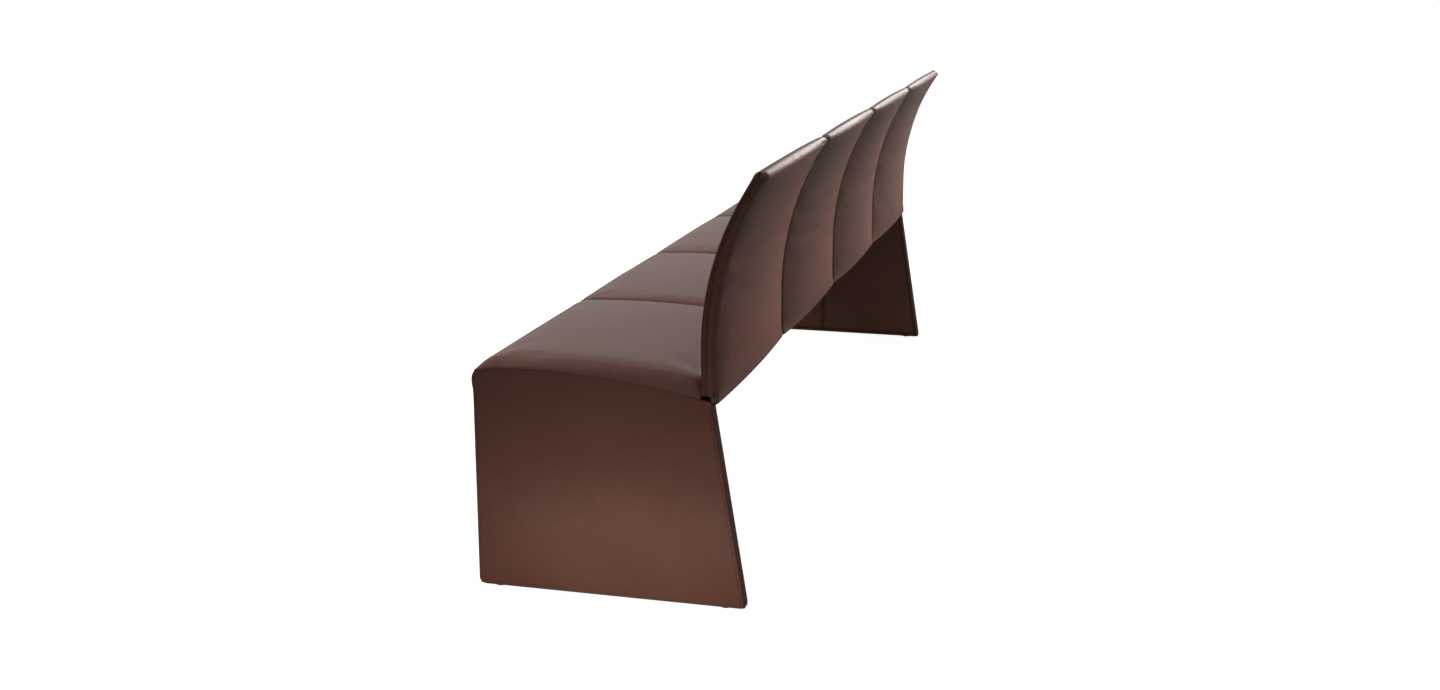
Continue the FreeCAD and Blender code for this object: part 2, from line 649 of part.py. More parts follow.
shell_screw_places = []
for place in bracket_places:
    for half in (-0.5, 0.5):
        shell_screw_places.append((f"{place} + {half} * Sizes.bracket_bolt_pitch",
                                   "Sizes.back_bend_height - Sizes.bracket_height / 2"
                                   f" + {half} * Sizes.bracket_screw_pitch"))
shell_screw_holes = []
for number, (across, height) in enumerate(shell_screw_places, start=1):
    shell_screw_holes.append(rod(f"shell_screw_hole_{number}", across, "Places.bracket_face", height,
                                 "Sizes.screw_hole_radius", "Sizes.bracket_steel + Sizes.shell_screw_reach"
                                 " + Sizes.fit_gap", "rearward"))
    head = rod(f"shell_screw_head_{number}", across, "Places.bracket_face - Sizes.screw_head_height", height,
               "Sizes.screw_head_radius", "Sizes.screw_head_height", "rearward")
    shank = rod(f"shell_screw_shank_{number}", across, "Places.bracket_face", height, "Sizes.screw_radius",
                "Sizes.bracket_steel + Sizes.shell_screw_reach", "rearward")
    screws.append(join(f"shell_screw_{number}", head, shank))
keep("back_shell", cut("shell", blank, shell_screw_holes))

# each bracket is one bent strip: down the rail, back under the seat's rear edge and up the shell
steel = "Sizes.bracket_steel"
rail_back = "Sizes.rear_rail_setback"
bracket_corners = [
    (rail_back, "Places.bracket_bottom"),
    (f"{rail_back} + {steel}", "Places.bracket_bottom"),
    (f"{rail_back} + {steel}", f"Places.rail_top - 2 * {steel}"),
    (f"Places.bracket_face + {steel}", f"Places.rail_top - 2 * {steel}"),
    (f"Places.bracket_face + {steel}", "Sizes.back_bend_height"),
    ("Places.bracket_face", "Sizes.back_bend_height"),
    ("Places.bracket_face", f"Places.rail_top - {steel}"),
    (rail_back, f"Places.rail_top - {steel}"),
]
brackets, pockets = [], []
for number, place in enumerate(bracket_places, start=1):
    blank = slab(f"bracket_blank_{number}", bracket_corners, f"{place} - Sizes.bracket_width / 2",
                 "Sizes.bracket_width")
    brackets.append(cut(f"bracket_{number}", blank, bracket_bolt_holes + shell_screw_holes))
    pockets.append(box(f"bracket_pocket_{number}", f"{place} - Sizes.bracket_width / 2 - Sizes.fit_gap",
                       "Places.bracket_face - Sizes.screw_head_height - Sizes.fit_gap", "Sizes.shell_bottom",
                       "Sizes.bracket_width + 2 * Sizes.fit_gap",
                       "Sizes.screw_head_height + Sizes.bracket_steel + 2 * Sizes.fit_gap",
                       "Sizes.back_bend_height + Sizes.fit_gap - Sizes.shell_bottom"))
keep("back_brackets", group("brackets", brackets))
keep("frame_bolts", group("all_bolts", bolts))
keep("wood_screws", group("all_screws", screws))

front_foam = slab("front_foam", sheet_outline(cover_fit, f"({cover_fit} + Sizes.back_foam - Sizes.fit_gap)",
                                              "Sizes.back_front_bottom", "Places.shell_top"),
                  shell_start, shell_length)
keep("back_front_pad", cut("front_pad", front_foam, pockets))

# the rear pad fills the backrest behind the shell and above it
filling = slab("back_filling", back_outline(cover_fit, "Sizes.back_front_bottom", "Sizes.shell_bottom"),
               shell_start, shell_length)
shell_space = slab("shell_space", sheet_outline(f"(-{cover_fit})", f"({shell_far} + Sizes.fit_gap)",
                                                "Sizes.back_rear_bottom", "Places.shell_top + Sizes.fit_gap"),
                   "-Places.half_length", "Sizes.bench_length")
keep("back_rear_pad", cut("rear_pad", filling, [shell_space] + panel_room))

roll_reach = "Sizes.back_roll_height + 2 * Sizes.back_roll_rise"
split_near, split_far = "(-Sizes.back_foam)", "(Sizes.back_seam_depth - Sizes.seam_gap / 2)"
for index in range(sizes["section_count"]):
    number = index + 1
    start = f"{board_edges[index]} + {'Sizes.leather' if index == 0 else 'Sizes.seam_gap / 2'}"
    finish = f"{board_edges[index + 1]} - {'Sizes.leather' if index == last else 'Sizes.seam_gap / 2'}"
    length = f"{finish} - ({start})"
    outside = slab(f"back_blank_{number}",
                   back_outline("0", "Sizes.back_front_bottom", "Sizes.back_rear_bottom"), start, length)
    inside = slab(f"back_hollow_{number}",
                  back_outline("Sizes.leather", "Sizes.back_front_bottom - Sizes.leather",
                               "Sizes.back_rear_bottom - Sizes.leather"), start, length)
    skin = cut(f"back_skin_{number}", outside, [inside] + panel_room)
    front_side = slab(f"front_side_{number}",
                      sheet_outline(split_near, split_far, "Sizes.back_rear_bottom", roll_reach),
                      start, length)
    keep(f"back_front_cover_{number}", overlap(f"front_skin_{number}", skin, front_side))
    keep(f"back_rear_cover_{number}", cut(f"rear_skin_{number}", skin, [front_side]))

for side in ("right", "left"):
    cap = slab(f"end_cap_{side}", back_outline("0", "Sizes.back_front_bottom", "Sizes.back_rear_bottom"),
               layer(side, "0", "Sizes.leather"), "Sizes.leather")
    keep(f"back_end_strip_{side}", cut(f"end_strip_{side}", cap, panel_room))

document.recompute()

# Every object has to be sound before anything is written

faults = [item.Name for item in document.Objects if "Invalid" in item.State or "Error" in item.State]
for label, item in sub_parts.items():
    if item.Shape.isNull() or not item.Shape.isValid() or not item.Shape.Solids:
        faults.append(label)
if faults:
    print("not sound:", ", ".join(faults))
    sys.exit(1)

os.makedirs("parts", exist_ok=True)
for label, item in sub_parts.items():
    item.Shape.exportStep(f"parts/{label}.step")
print(len(sub_parts), "sub-parts written")
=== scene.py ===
import json
import math

import bmesh
import bpy
import numpy as np
from mathutils import Matrix, Vector, noise

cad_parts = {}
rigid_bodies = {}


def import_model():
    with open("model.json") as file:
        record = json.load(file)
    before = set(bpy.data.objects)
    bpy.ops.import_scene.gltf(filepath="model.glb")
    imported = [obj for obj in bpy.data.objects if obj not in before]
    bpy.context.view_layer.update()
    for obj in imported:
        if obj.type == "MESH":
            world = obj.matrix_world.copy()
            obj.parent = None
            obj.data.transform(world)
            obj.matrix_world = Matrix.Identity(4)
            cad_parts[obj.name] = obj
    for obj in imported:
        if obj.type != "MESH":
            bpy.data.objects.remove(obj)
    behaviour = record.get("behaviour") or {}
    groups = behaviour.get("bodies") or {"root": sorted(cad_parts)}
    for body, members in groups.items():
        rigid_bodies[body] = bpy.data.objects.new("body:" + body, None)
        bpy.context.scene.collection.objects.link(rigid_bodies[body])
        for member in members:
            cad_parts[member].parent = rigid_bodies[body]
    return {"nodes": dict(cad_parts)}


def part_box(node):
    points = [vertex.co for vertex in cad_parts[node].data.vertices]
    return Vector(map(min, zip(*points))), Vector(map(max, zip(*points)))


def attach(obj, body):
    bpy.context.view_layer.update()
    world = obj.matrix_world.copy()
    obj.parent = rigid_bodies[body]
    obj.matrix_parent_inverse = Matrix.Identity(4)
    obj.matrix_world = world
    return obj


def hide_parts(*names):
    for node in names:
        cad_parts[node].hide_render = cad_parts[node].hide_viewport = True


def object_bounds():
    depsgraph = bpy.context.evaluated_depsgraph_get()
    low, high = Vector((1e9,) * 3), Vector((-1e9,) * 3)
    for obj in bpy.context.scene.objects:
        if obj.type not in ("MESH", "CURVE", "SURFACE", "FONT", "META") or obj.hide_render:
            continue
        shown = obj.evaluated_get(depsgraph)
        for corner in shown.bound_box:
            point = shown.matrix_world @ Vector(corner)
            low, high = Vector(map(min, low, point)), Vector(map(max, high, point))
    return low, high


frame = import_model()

# All lengths are in metres. A setback is measured from the bench's front edge, as in the frame's own drawing.
# The bench's long side runs along X, its front faces -Y and its right end is at +X.

scene = bpy.context.scene
scene.view_settings.view_transform = "Standard"

cadLow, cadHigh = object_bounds()
frontEdge = cadLow.y
halfLength = cadHigh.x
sectionCount = len([name for name in frame["nodes"] if name.startswith("seat_cover_")])
sectionEdges = np.linspace(-halfLength, halfLength, sectionCount + 1)
panelLayers = 0.007      # the wadding and leather on both faces of an end panel's core
panelInside = halfLength - (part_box("end_core_right")[1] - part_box("end_core_right")[0]).x - panelLayers
seamHalf = 0.0004


# Places and curves

def lerp(start, finish, share):
    return start + (finish - start) * share


def smooth(low, high, value):
    share = np.clip((value - low) / (high - low), 0, 1)
    return share * share * (3 - 2 * share)


def roundDrop(distance, width):
    # 1 at a seam and 0 from width on, with the quarter-round fall of stuffed leather
    share = np.clip(1 - distance / width, 0, 1)
    return 1 - np.sqrt(1 - share * share)


def pathLengths(path):
    return np.concatenate([[0], np.cumsum(np.linalg.norm(np.diff(path, axis=0), axis=1))])


def resample(path, count=None, weights=None):
    # points at even distances along a path, or at the given shares of its length
    along = pathLengths(path)
    if weights is None:
        weights = np.linspace(0, 1, count)
    return np.stack([np.interp(weights * along[-1], along, line) for line in path.T], axis=1)


def arc(centre, radius, start, finish, count=12):
    angles = np.radians(np.linspace(start, finish, count))
    return np.stack([centre[0] + radius * np.cos(angles), centre[1] + radius * np.sin(angles)], axis=1)


def sideNormals(path, outward=1):
    way = np.gradient(path, axis=0)
    way /= np.maximum(np.linalg.norm(way, axis=1, keepdims=True), 1e-9)
    return outward * np.stack([-way[:, 1], way[:, 0]], axis=1)


def wander(points, pitch, seed, depth=2):
    # smooth noise from -1 to 1 at each point
    offset = Vector((seed * 7.13, seed * 3.71, seed * 1.37))
    values = [noise.fractal(Vector(point) / pitch + offset, 1.0, 2.0, depth) for point in points.reshape(-1, 3)]
    return np.array(values).reshape(points.shape[:-1])


def puckers(points, fromSeam, reach, seed):
    # short folds that leave a seam at right angles, in loose groups; the result is from -1 to 1
    close = np.exp(-fromSeam / reach) * (1 - np.exp(-fromSeam / (0.12 * reach)))
    squeezed = points * np.array([0.25, 1.0, 1.0])
    groups = smooth(-0.25, 0.35, wander(points, 0.14, seed + 5))
    return close * wander(squeezed, 0.0085, seed) * (0.25 + 0.75 * groups)


# Meshes

sharpAngle = math.radians(38)


def turnOutward(mesh):
    shape = bmesh.new()
    shape.from_mesh(mesh)
    bmesh.ops.recalc_face_normals(shape, faces=shape.faces)
    if shape.calc_volume(signed=True) < 0:
        bmesh.ops.reverse_faces(shape, faces=shape.faces)
    shape.to_mesh(mesh)
    shape.free()


def makePiece(name, vertices, faces, material):
    mesh = bpy.data.meshes.new(name)
    mesh.from_pydata([tuple(v) for v in vertices], [], [tuple(f) for f in faces])
    mesh.validate()
    mesh.update()
    turnOutward(mesh)
    mesh.shade_smooth()
    mesh.set_sharp_from_angle(angle=sharpAngle)
    piece = bpy.data.objects.new(name, mesh)
    scene.collection.objects.link(piece)
    mesh.materials.append(material)
    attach(piece, "root")
    return piece


def paintCreaseShade(piece, values):
    # how far each vertex lies in a seam, which the leather reads as painted shade that darkens its colour and as a
    # duller surface; a piece's two skins share the values
    layer = piece.data.attributes.new("crease", "FLOAT", "POINT")
    layer.data.foreach_set("value", np.resize(values, len(piece.data.vertices)).astype(np.float32))


def standFor(piece, slot, fill, *nodes):
    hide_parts(*nodes)


def sheetFaces(rows, columns, start=0, flip=False):
    faces = []
    for r in range(rows - 1):
        for c in range(columns - 1):
            a = start + r * columns + c
            quad = (a, a + 1, a + columns + 1, a + columns)
            faces.append(quad[::-1] if flip else quad)
    return faces


def rimOf(rows, columns):
    # the border of a grid of vertices, once round
    ids = np.arange(rows * columns).reshape(rows, columns)
    return np.concatenate([ids[0], ids[1:, -1], ids[-1, -2::-1], ids[-2:0:-1, 0]]).tolist()


def ringFaces(a, b):
    return [(a[i - 1], b[i - 1], b[i], a[i]) for i in [*range(1, len(a)), 0]]


def stuffed(name, outer, inner, material, flip=False):
    # a closed skin from an outer and an inner grid of the same size, joined round their rims
    rows, columns = outer.shape[:2]
    count = rows * columns
    rim = rimOf(rows, columns)
    sides = ringFaces(rim, [index + count for index in rim])
    faces = sheetFaces(rows, columns, 0, flip) + sheetFaces(rows, columns, count, not flip)
    faces += [face[::-1] for face in sides] if flip else sides
    vertices = np.concatenate([outer.reshape(-1, 3), inner.reshape(-1, 3)])
    return makePiece(name, vertices, faces, material)


allowanceCut = {"thick": 0.0003, "below": 0.0004}


def seamAllowance(name, outerLine, innerLine):
    # the two cut edges of leather, sewn together, that stand in the foam's channel below a seam
    way = innerLine - outerLine
    length = np.maximum(np.linalg.norm(way, axis=1, keepdims=True), 1e-6)
    top = outerLine + way / length * np.minimum(allowanceCut["below"], 0.3 * length)
    middle = (outerLine[:, 0].max() + outerLine[:, 0].min()) / 2
    rings = []
    for line, across in ((innerLine, -1), (top, -1), (outerLine, 0), (top, 1), (innerLine, 1)):
        placed = line.copy()
        placed[:, 0] = middle + across * allowanceCut["thick"]
        rings.append(placed)
    grid = np.stack(rings, axis=1)
    rows, columns = grid.shape[:2]
    faces = []
    for low in range(0, (rows - 1) * columns, columns):
        for c in range(columns):
            d = (c + 1) % columns
            faces.append((low + c, low + d, low + columns + d, low + columns + c))
    faces += [tuple(range(columns))[::-1], tuple((rows - 1) * columns + c for c in range(columns))]
    piece = makePiece(name, grid.reshape(-1, 3), faces, allowanceLeather)
    # painted shade over the whole allowance, which lies down in the seam
    paintCreaseShade(piece, np.ones(rows * columns))
    return piece


# The stuffing's push on the leather, as cloth that is held along its seams

clothPass = {
    "frames": 18, "quality": 5, "pressure": 1.0, "spare": 0.0005, "stretch": 30.0, "bend": 1.5, "weight": 0.2,
    "cap": 0.0025,
}
swelling = []


def letSwell(piece, outer, inner, held):
    # the outer leather is simulated on its own; held is 1 where a point of it stays, as at a seam
    points, away = outer.reshape(-1, 3), (outer - inner).reshape(-1, 3)
    faces = np.array(sheetFaces(*held.shape))
    normals = np.cross(points[faces[:, 2]] - points[faces[:, 0]], points[faces[:, 3]] - points[faces[:, 1]])
    if (normals * away[faces[:, 0]]).sum() < 0:
        faces = faces[:, ::-1]
    kept, place = np.unique(np.round(points, 5), axis=0, return_inverse=True)
    place = place.reshape(-1)
    corners = [list(dict.fromkeys(place[face].tolist())) for face in faces]
    mesh = bpy.data.meshes.new(piece.name + "_skin")
    mesh.from_pydata(kept.tolist(), [], [face for face in corners if len(face) > 2])
    mesh.update()
    skin = bpy.data.objects.new(mesh.name, mesh)
    scene.collection.objects.link(skin)
    group = skin.vertex_groups.new(name="held")
    for index, weight in zip(place.tolist(), held.reshape(-1)):
        group.add([index], float(weight), "REPLACE")
    settings = skin.modifiers.new("Cloth", "CLOTH").settings
    settings.quality = clothPass["quality"]
    settings.mass = clothPass["weight"]
    settings.tension_stiffness = settings.compression_stiffness = clothPass["stretch"]
    settings.shear_stiffness = clothPass["stretch"] / 2
    settings.bending_stiffness = clothPass["bend"]
    settings.use_pressure = True
    settings.uniform_pressure_force = clothPass["pressure"]
    settings.shrink_min = -clothPass["spare"]
    settings.vertex_group_mass = "held"
    settings.effector_weights.gravity = 0
    swelling.append((piece, skin, place))


def swellAll():
    for step in range(1, clothPass["frames"] + 1):
        scene.frame_set(step)
    seen = bpy.context.evaluated_depsgraph_get()
    moves = []
    for piece, skin, place in swelling:
        before, after = np.zeros((2, len(skin.data.vertices) * 3))
        skin.data.vertices.foreach_get("co", before)
        skin.evaluated_get(seen).data.vertices.foreach_get("co", after)
        move = (after - before).reshape(-1, 3)
        size = np.linalg.norm(move, axis=1, keepdims=True)
        cap = clothPass["cap"]
        moves.append((move * cap * np.tanh(size / cap) / np.maximum(size, 1e-9))[place])
        print("swelled", piece.name, "by mm before the cap, mean and most",
              round(size.mean() * 1000, 2), round(size.max() * 1000, 2))
    for (piece, skin, place), move in zip(swelling, moves):
        places = np.zeros(len(piece.data.vertices) * 3)
        piece.data.vertices.foreach_get("co", places)
        places[:move.size] += move.reshape(-1)
        piece.data.vertices.foreach_set("co", places)
        piece.data.update()
        bpy.data.objects.remove(skin)
    scene.frame_set(1)


# Materials

def feed(tree, socket, value):
    # sets a number or a colour, and links another node's output
    if isinstance(value, (int, float, tuple)):
        socket.default_value = value
    else:
        tree.links.new(value, socket)


def addNode(tree, kind, **settings):
    node = tree.nodes.new("ShaderNode" + kind)
    for key, value in settings.items():
        setattr(node, key, value)
    return node


def inputsOf(tree, node, **values):
    for key, value in values.items():
        feed(tree, node.inputs[key.replace("_", " ")], value)
    return node


def calc(tree, operation, *values):
    # a value that is itself an operation with its values becomes a node of its own
    node = addNode(tree, "Math", operation=operation)
    for socket, value in zip(node.inputs, values):
        feed(tree, socket, calc(tree, *value) if isinstance(value, tuple) else value)
    return node.outputs[0]


def spread(tree, value, low, high, toLow=0.0, toHigh=1.0):
    node = addNode(tree, "MapRange", interpolation_type="SMOOTHSTEP")
    inputsOf(tree, node, Value=value, From_Min=low, From_Max=high, To_Min=toLow, To_Max=toHigh)
    return node.outputs["Result"]


def mixColours(tree, share, a, b, blend="MIX"):
    node = addNode(tree, "Mix", data_type="RGBA", blend_type=blend)
    for index, value in ((0, share), (6, a), (7, b)):
        feed(tree, node.inputs[index], value)
    return node.outputs[2]


def noiseAt(tree, place, **values):
    return inputsOf(tree, addNode(tree, "TexNoise"), Vector=place, **values).outputs


def newGroup(name, inputs):
    # a surface as one group, which gives its colour, roughness and height
    group = bpy.data.node_groups.new(name, "ShaderNodeTree")
    for label, value in inputs.items():
        kind = {3: "Vector", 4: "Color"}[len(value)] if isinstance(value, tuple) else "Float"
        socket = group.interface.new_socket(name=label, in_out="INPUT", socket_type="NodeSocket" + kind)
        socket.default_value = value
    for label, kind in (("Colour", "Color"), ("Roughness", "Float"), ("Height", "Float")):
        group.interface.new_socket(name=label, in_out="OUTPUT", socket_type="NodeSocket" + kind)
    given, put = group.nodes.new("NodeGroupInput"), group.nodes.new("NodeGroupOutput")
    return group, given.outputs, put, addNode(group, "TexCoord").outputs["Object"]


def makeHideGroup():
    # the skin of a hide: pebbled grain, pores and slow tone changes, with painted shade in its seams, grooves and
    # creases
    group, given, put, place = newGroup("hideSkin", {
        "Hide": (0.1, 0.05, 0.04, 1), "Crease": (0.03, 0.015, 0.012, 1), "Rubbed": (0.13, 0.075, 0.055, 1),
        "Grain Pitch": 0.0012, "Tone Pitch": 0.16, "Tone Depth": 0.35, "Dullness": 0.40,
    })

    def byPitch(pitch):
        scaled = addNode(group, "VectorMath", operation="SCALE")
        return inputsOf(group, scaled, Vector=place, Scale=calc(group, "DIVIDE", 1.0, pitch)).outputs[0]

    grainPlace, tonePlace = byPitch(given["Grain Pitch"]), byPitch(given["Tone Pitch"])
    bent = addNode(group, "VectorMath", operation="ADD")
    feed(group, bent.inputs[0], grainPlace)
    feed(group, bent.inputs[1], noiseAt(group, grainPlace, Scale=0.6, Detail=2.0)["Color"])
    pebble = inputsOf(group, addNode(group, "TexVoronoi", feature="SMOOTH_F1"), Vector=bent.outputs[0],
                      Scale=1.0, Smoothness=0.35)
    pebbleTop = spread(group, pebble.outputs["Distance"], 0.15, 0.75, 1.0, 0.0)
    pores = noiseAt(group, grainPlace, Scale=2.6, Detail=3.0, Roughness=0.65)["Fac"]
    tones = noiseAt(group, tonePlace, Scale=1.0, Detail=4.0, Roughness=0.55, Distortion=0.4)["Fac"]
    tone = spread(group, tones, 0.3, 0.7)
    creaseShadeMask = addNode(group, "Attribute", attribute_name="crease").outputs["Fac"]

    rubbed = calc(group, "MULTIPLY", tone, given["Tone Depth"])
    colour = mixColours(group, rubbed, given["Hide"], given["Rubbed"])
    # painted shade: the colour darkens towards the Crease colour where the seam mask is high
    colour = mixColours(group, calc(group, "MULTIPLY", creaseShadeMask, 0.85), colour, given["Crease"])
    poreShade = spread(group, pores, 0.3, 0.55, 0.82, 1.0)
    grey = inputsOf(group, addNode(group, "CombineColor"), Red=poreShade, Green=poreShade, Blue=poreShade)
    dull = calc(group, "ADD", given["Dullness"], ("MULTIPLY", tone, 0.05))
    dull = calc(group, "ADD", dull, ("MULTIPLY", creaseShadeMask, 0.25))
    inputsOf(group, put, Colour=mixColours(group, 1.0, colour, grey.outputs["Color"], "MULTIPLY"),
             Roughness=calc(group, "ADD", dull, ("MULTIPLY", pebbleTop, -0.05)),
             Height=calc(group, "ADD", ("MULTIPLY", pebbleTop, 0.7), ("MULTIPLY", pores, 0.3)))
    return group


def makePlywoodGroup():
    # rotary-cut veneer on the faces, and its layers and glue lines on the edges across the given axis
    group, given, put, place = newGroup("plywood", {
        "Pale": (0.62, 0.44, 0.26, 1), "Brown": (0.40, 0.25, 0.13, 1), "Glue": (0.12, 0.07, 0.04, 1),
        "Across": (0, 0, 1), "Layer": 0.0015, "Layered": 1.0,
    })
    stretched = addNode(group, "VectorMath", operation="MULTIPLY")
    feed(group, stretched.inputs[0], place)
    feed(group, stretched.inputs[1], (6, 90, 90))
    grain = noiseAt(group, stretched.outputs[0], Scale=1.0, Detail=5.0, Roughness=0.6, Distortion=0.6)["Fac"]

    def dot(vector):
        node = addNode(group, "VectorMath", operation="DOT_PRODUCT")
        feed(group, node.inputs[0], vector)
        feed(group, node.inputs[1], given["Across"])
        return node.outputs["Value"]

    depth = calc(group, "DIVIDE", dot(place), given["Layer"])
    turned = calc(group, "GREATER_THAN", ("FRACT", ("MULTIPLY", depth, 0.5)), 0.5)
    facing = calc(group, "ABSOLUTE", dot(addNode(group, "NewGeometry").outputs["Normal"]))
    onEdge = calc(group, "MULTIPLY", spread(group, facing, 0.4, 0.6, 1.0, 0.0), given["Layered"])
    brown = calc(group, "MAXIMUM", spread(group, grain, 0.42, 0.66),
                 ("MULTIPLY", ("MULTIPLY", turned, onEdge), 0.8))
    colour = mixColours(group, brown, given["Pale"], given["Brown"])
    glued = calc(group, "MULTIPLY", ("LESS_THAN", ("FRACT", depth), 0.1), onEdge)
    inputsOf(group, put, Colour=mixColours(group, glued, colour, given["Glue"]),
             Roughness=spread(group, grain, 0.3, 0.7, 0.60, 0.74), Height=grain)
    return group


def makeFinishGroup():
    # an even coat with a fine texture and slow patches
    group, given, put, place = newGroup("fineFinish", {
        "Tint": (0.05, 0.05, 0.05, 1), "Patch": (0.07, 0.07, 0.07, 1), "Texture Pitch": 0.0008,
        "Patch Pitch": 0.03, "Dullness": 0.4, "Unevenness": 0.1,
    })
    texture, slow = [noiseAt(group, place, Detail=detail, Scale=calc(group, "DIVIDE", 1.0, given[pitch]))["Fac"]
                     for pitch, detail in (("Texture Pitch", 2.0), ("Patch Pitch", 4.0))]
    patch = spread(group, slow, 0.35, 0.65)
    uneven = calc(group, "MULTIPLY", ("SUBTRACT", patch, 0.5), given["Unevenness"])
    inputsOf(group, put, Colour=mixColours(group, patch, given["Tint"], given["Patch"]),
             Roughness=calc(group, "ADD", given["Dullness"], uneven), Height=texture)
    return group


def makeMaterial(name, group, depth, shine, **values):
    material = bpy.data.materials.new(name)
    material.use_nodes = True
    tree = material.node_tree
    skin = inputsOf(tree, addNode(tree, "Group", node_tree=group), **values).outputs
    bump = inputsOf(tree, addNode(tree, "Bump"), Strength=1.0, Distance=depth, Height=skin["Height"])
    inputsOf(tree, tree.nodes["Principled BSDF"], Base_Color=skin["Colour"], Roughness=skin["Roughness"],
             Normal=bump.outputs["Normal"], **shine)
    return material


def dress(material, nodes):
    for node in nodes:
        piece = bpy.data.objects[node]
        if not piece.material_slots:
            piece.data.materials.append(material)
        for place in piece.material_slots:
            place.material = material


def named(*starts):
    return [name for name in frame["nodes"] if name.startswith(starts)]


# Crease is the colour of the painted shade in seams, grooves and turns
leatherLook = {
    "depth": 0.000013, "shine": {"IOR": 1.47, "Specular_IOR_Level": 0.25}, "Hide": (0.098, 0.040, 0.027, 1),
    "Crease": (0.014, 0.006, 0.005, 1), "Rubbed": (0.125, 0.060, 0.044, 1), "Grain_Pitch": 0.0013,
    "Tone_Pitch": 0.17, "Tone_Depth": 0.22, "Dullness": 0.28,
}
hideSkin, plywood, fineFinish = makeHideGroup(), makePlywoodGroup(), makeFinishGroup()
seatLeather, backLeather, endLeather, allowanceLeather = [
    makeMaterial(name, hideSkin, **leatherLook)
    for name in ("seatLeather", "backLeather", "endLeather", "allowanceLeather")]
for name, across, layered, start in (("coreBoard", (1, 0, 0), 1.0, "end_core_"),
                                     ("seatBoard", (0, 0, 1), 1.0, "seat_board_"),
                                     ("mouldedShell", (0, 1, 0), 0.0, "back_shell")):
    dress(makeMaterial(name, plywood, 0.0001, {}, Across=across, Layered=layered), named(start))
hardLook = {
    "powderCoat": {"depth": 0.00003, "shine": {"Specular_IOR_Level": 0.45}, "Tint": (0.018, 0.018, 0.019, 1),
                   "Patch": (0.026, 0.026, 0.027, 1), "Texture_Pitch": 0.0009, "Dullness": 0.46},
    "zincPlate": {"depth": 0.00001, "shine": {"Metallic": 1.0}, "Tint": (0.60, 0.61, 0.60, 1),
                  "Patch": (0.44, 0.45, 0.46, 1), "Texture_Pitch": 0.0004, "Patch_Pitch": 0.004,
                  "Dullness": 0.30, "Unevenness": 0.16},
    "mouldedNylon": {"depth": 0.00004, "shine": {"Specular_IOR_Level": 0.4}, "Tint": (0.012, 0.012, 0.013, 1),
                     "Patch": (0.020, 0.020, 0.020, 1), "Texture_Pitch": 0.0005, "Patch_Pitch": 0.01,
                     "Dullness": 0.52},
    "spunFleece": {"depth": 0.00020, "shine": {"Specular_IOR_Level": 0.15}, "Tint": (0.010, 0.010, 0.011, 1),
                   "Patch": (0.024, 0.024, 0.026, 1), "Texture_Pitch": 0.0011, "Patch_Pitch": 0.006,
                   "Dullness": 0.85},
}
hardMaterials = {name: makeMaterial(name, fineFinish, **look) for name, look in hardLook.items()}
dress(hardMaterials["powderCoat"],
      named("front_rail", "rear_rail", "back_brackets", "end_plate_", "cross_tube_"))
dress(hardMaterials["zincPlate"],
      named("end_inserts", "glide_sockets", "frame_bolts", "wood_screws", "glide_stem_"))
dress(hardMaterials["mouldedNylon"], named("glide_pad_"))
print("materials made")


# Side view of the bench, as (setback, height)

seatCut = {
    "crestSetback": 0.180, "topRadius": 2.0, "noseRadius": 0.045, "rearRun": 0.046, "rearFall": 0.030,
    "grooveFront": 0.006, "grooveRear": 0.019, "grooveWidth": 0.034, "crownDepth": 0.004,
    "rollRun": 0.026, "rollShare": 0.92, "rollPower": 1.3, "endCrown": 0.0030, "rollBulge": 0.0011,
    "lipOverlap": 0.0008, "lipFront": 0.005, "rowStep": 0.008, "columnStep": 0.012, "pucker": 0.00045,
    "rearReach": 0.0075, "reachFrom": 1.122, "flatEnd": 1.150, "hem": 0.003, "skin": 0.0022,
    "rollColumns": 9, "wallColumns": 4, "creaseShadeWidth": 0.009, "fill": 0.85,
}
panelCut = {
    "crestHeight": 0.463, "crestSetback": 0.120, "frontRadius": 0.600, "rearRadius": 1.500,
    "footDepth": 0.557, "headDepth": 0.489, "corner": 0.010, "rearCorner": 0.004, "stand": 0.002,
    "edgeRound": 0.0045, "topRound": 0.0020, "puff": 0.0012, "puffWidth": 0.016,
    "seamInset": 0.0068, "seamHalf": 0.0010, "seamDepth": 0.0005,
    "noseBulge": 0.003, "noseBulgeHeight": 0.430, "innerSeam": 0.240,
    "recessRadius": 0.0122, "recessHeight": 0.0070, "skin": 0.0033, "fill": 1.0, "splitGap": 0.0005,
    "innerInset": 0.0018, "innerRound": 0.0018, "innerRoundWidth": 0.011, "innerSkin": 0.0028,
    "innerColumns": 30, "counts": (52, 44, 52, 44),      # points along the foot, rear, top and front
}
seatLow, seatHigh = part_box("seat_cover_2")
seatDepth = seatHigh.y - seatLow.y
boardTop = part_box("seat_board_2")[1].z
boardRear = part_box("seat_board_2")[1].y - frontEdge
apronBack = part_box("seat_board_2")[0].y - frontEdge


def panelTop(setback):
    cut = panelCut
    radius = np.where(setback < cut["crestSetback"], cut["frontRadius"], cut["rearRadius"])
    return cut["crestHeight"] - radius + np.sqrt(radius ** 2 - (setback - cut["crestSetback"]) ** 2)


def seatTop(setback):
    cut = seatCut
    return seatHigh.z - cut["topRadius"] + np.sqrt(cut["topRadius"] ** 2 - (setback - cut["crestSetback"]) ** 2)


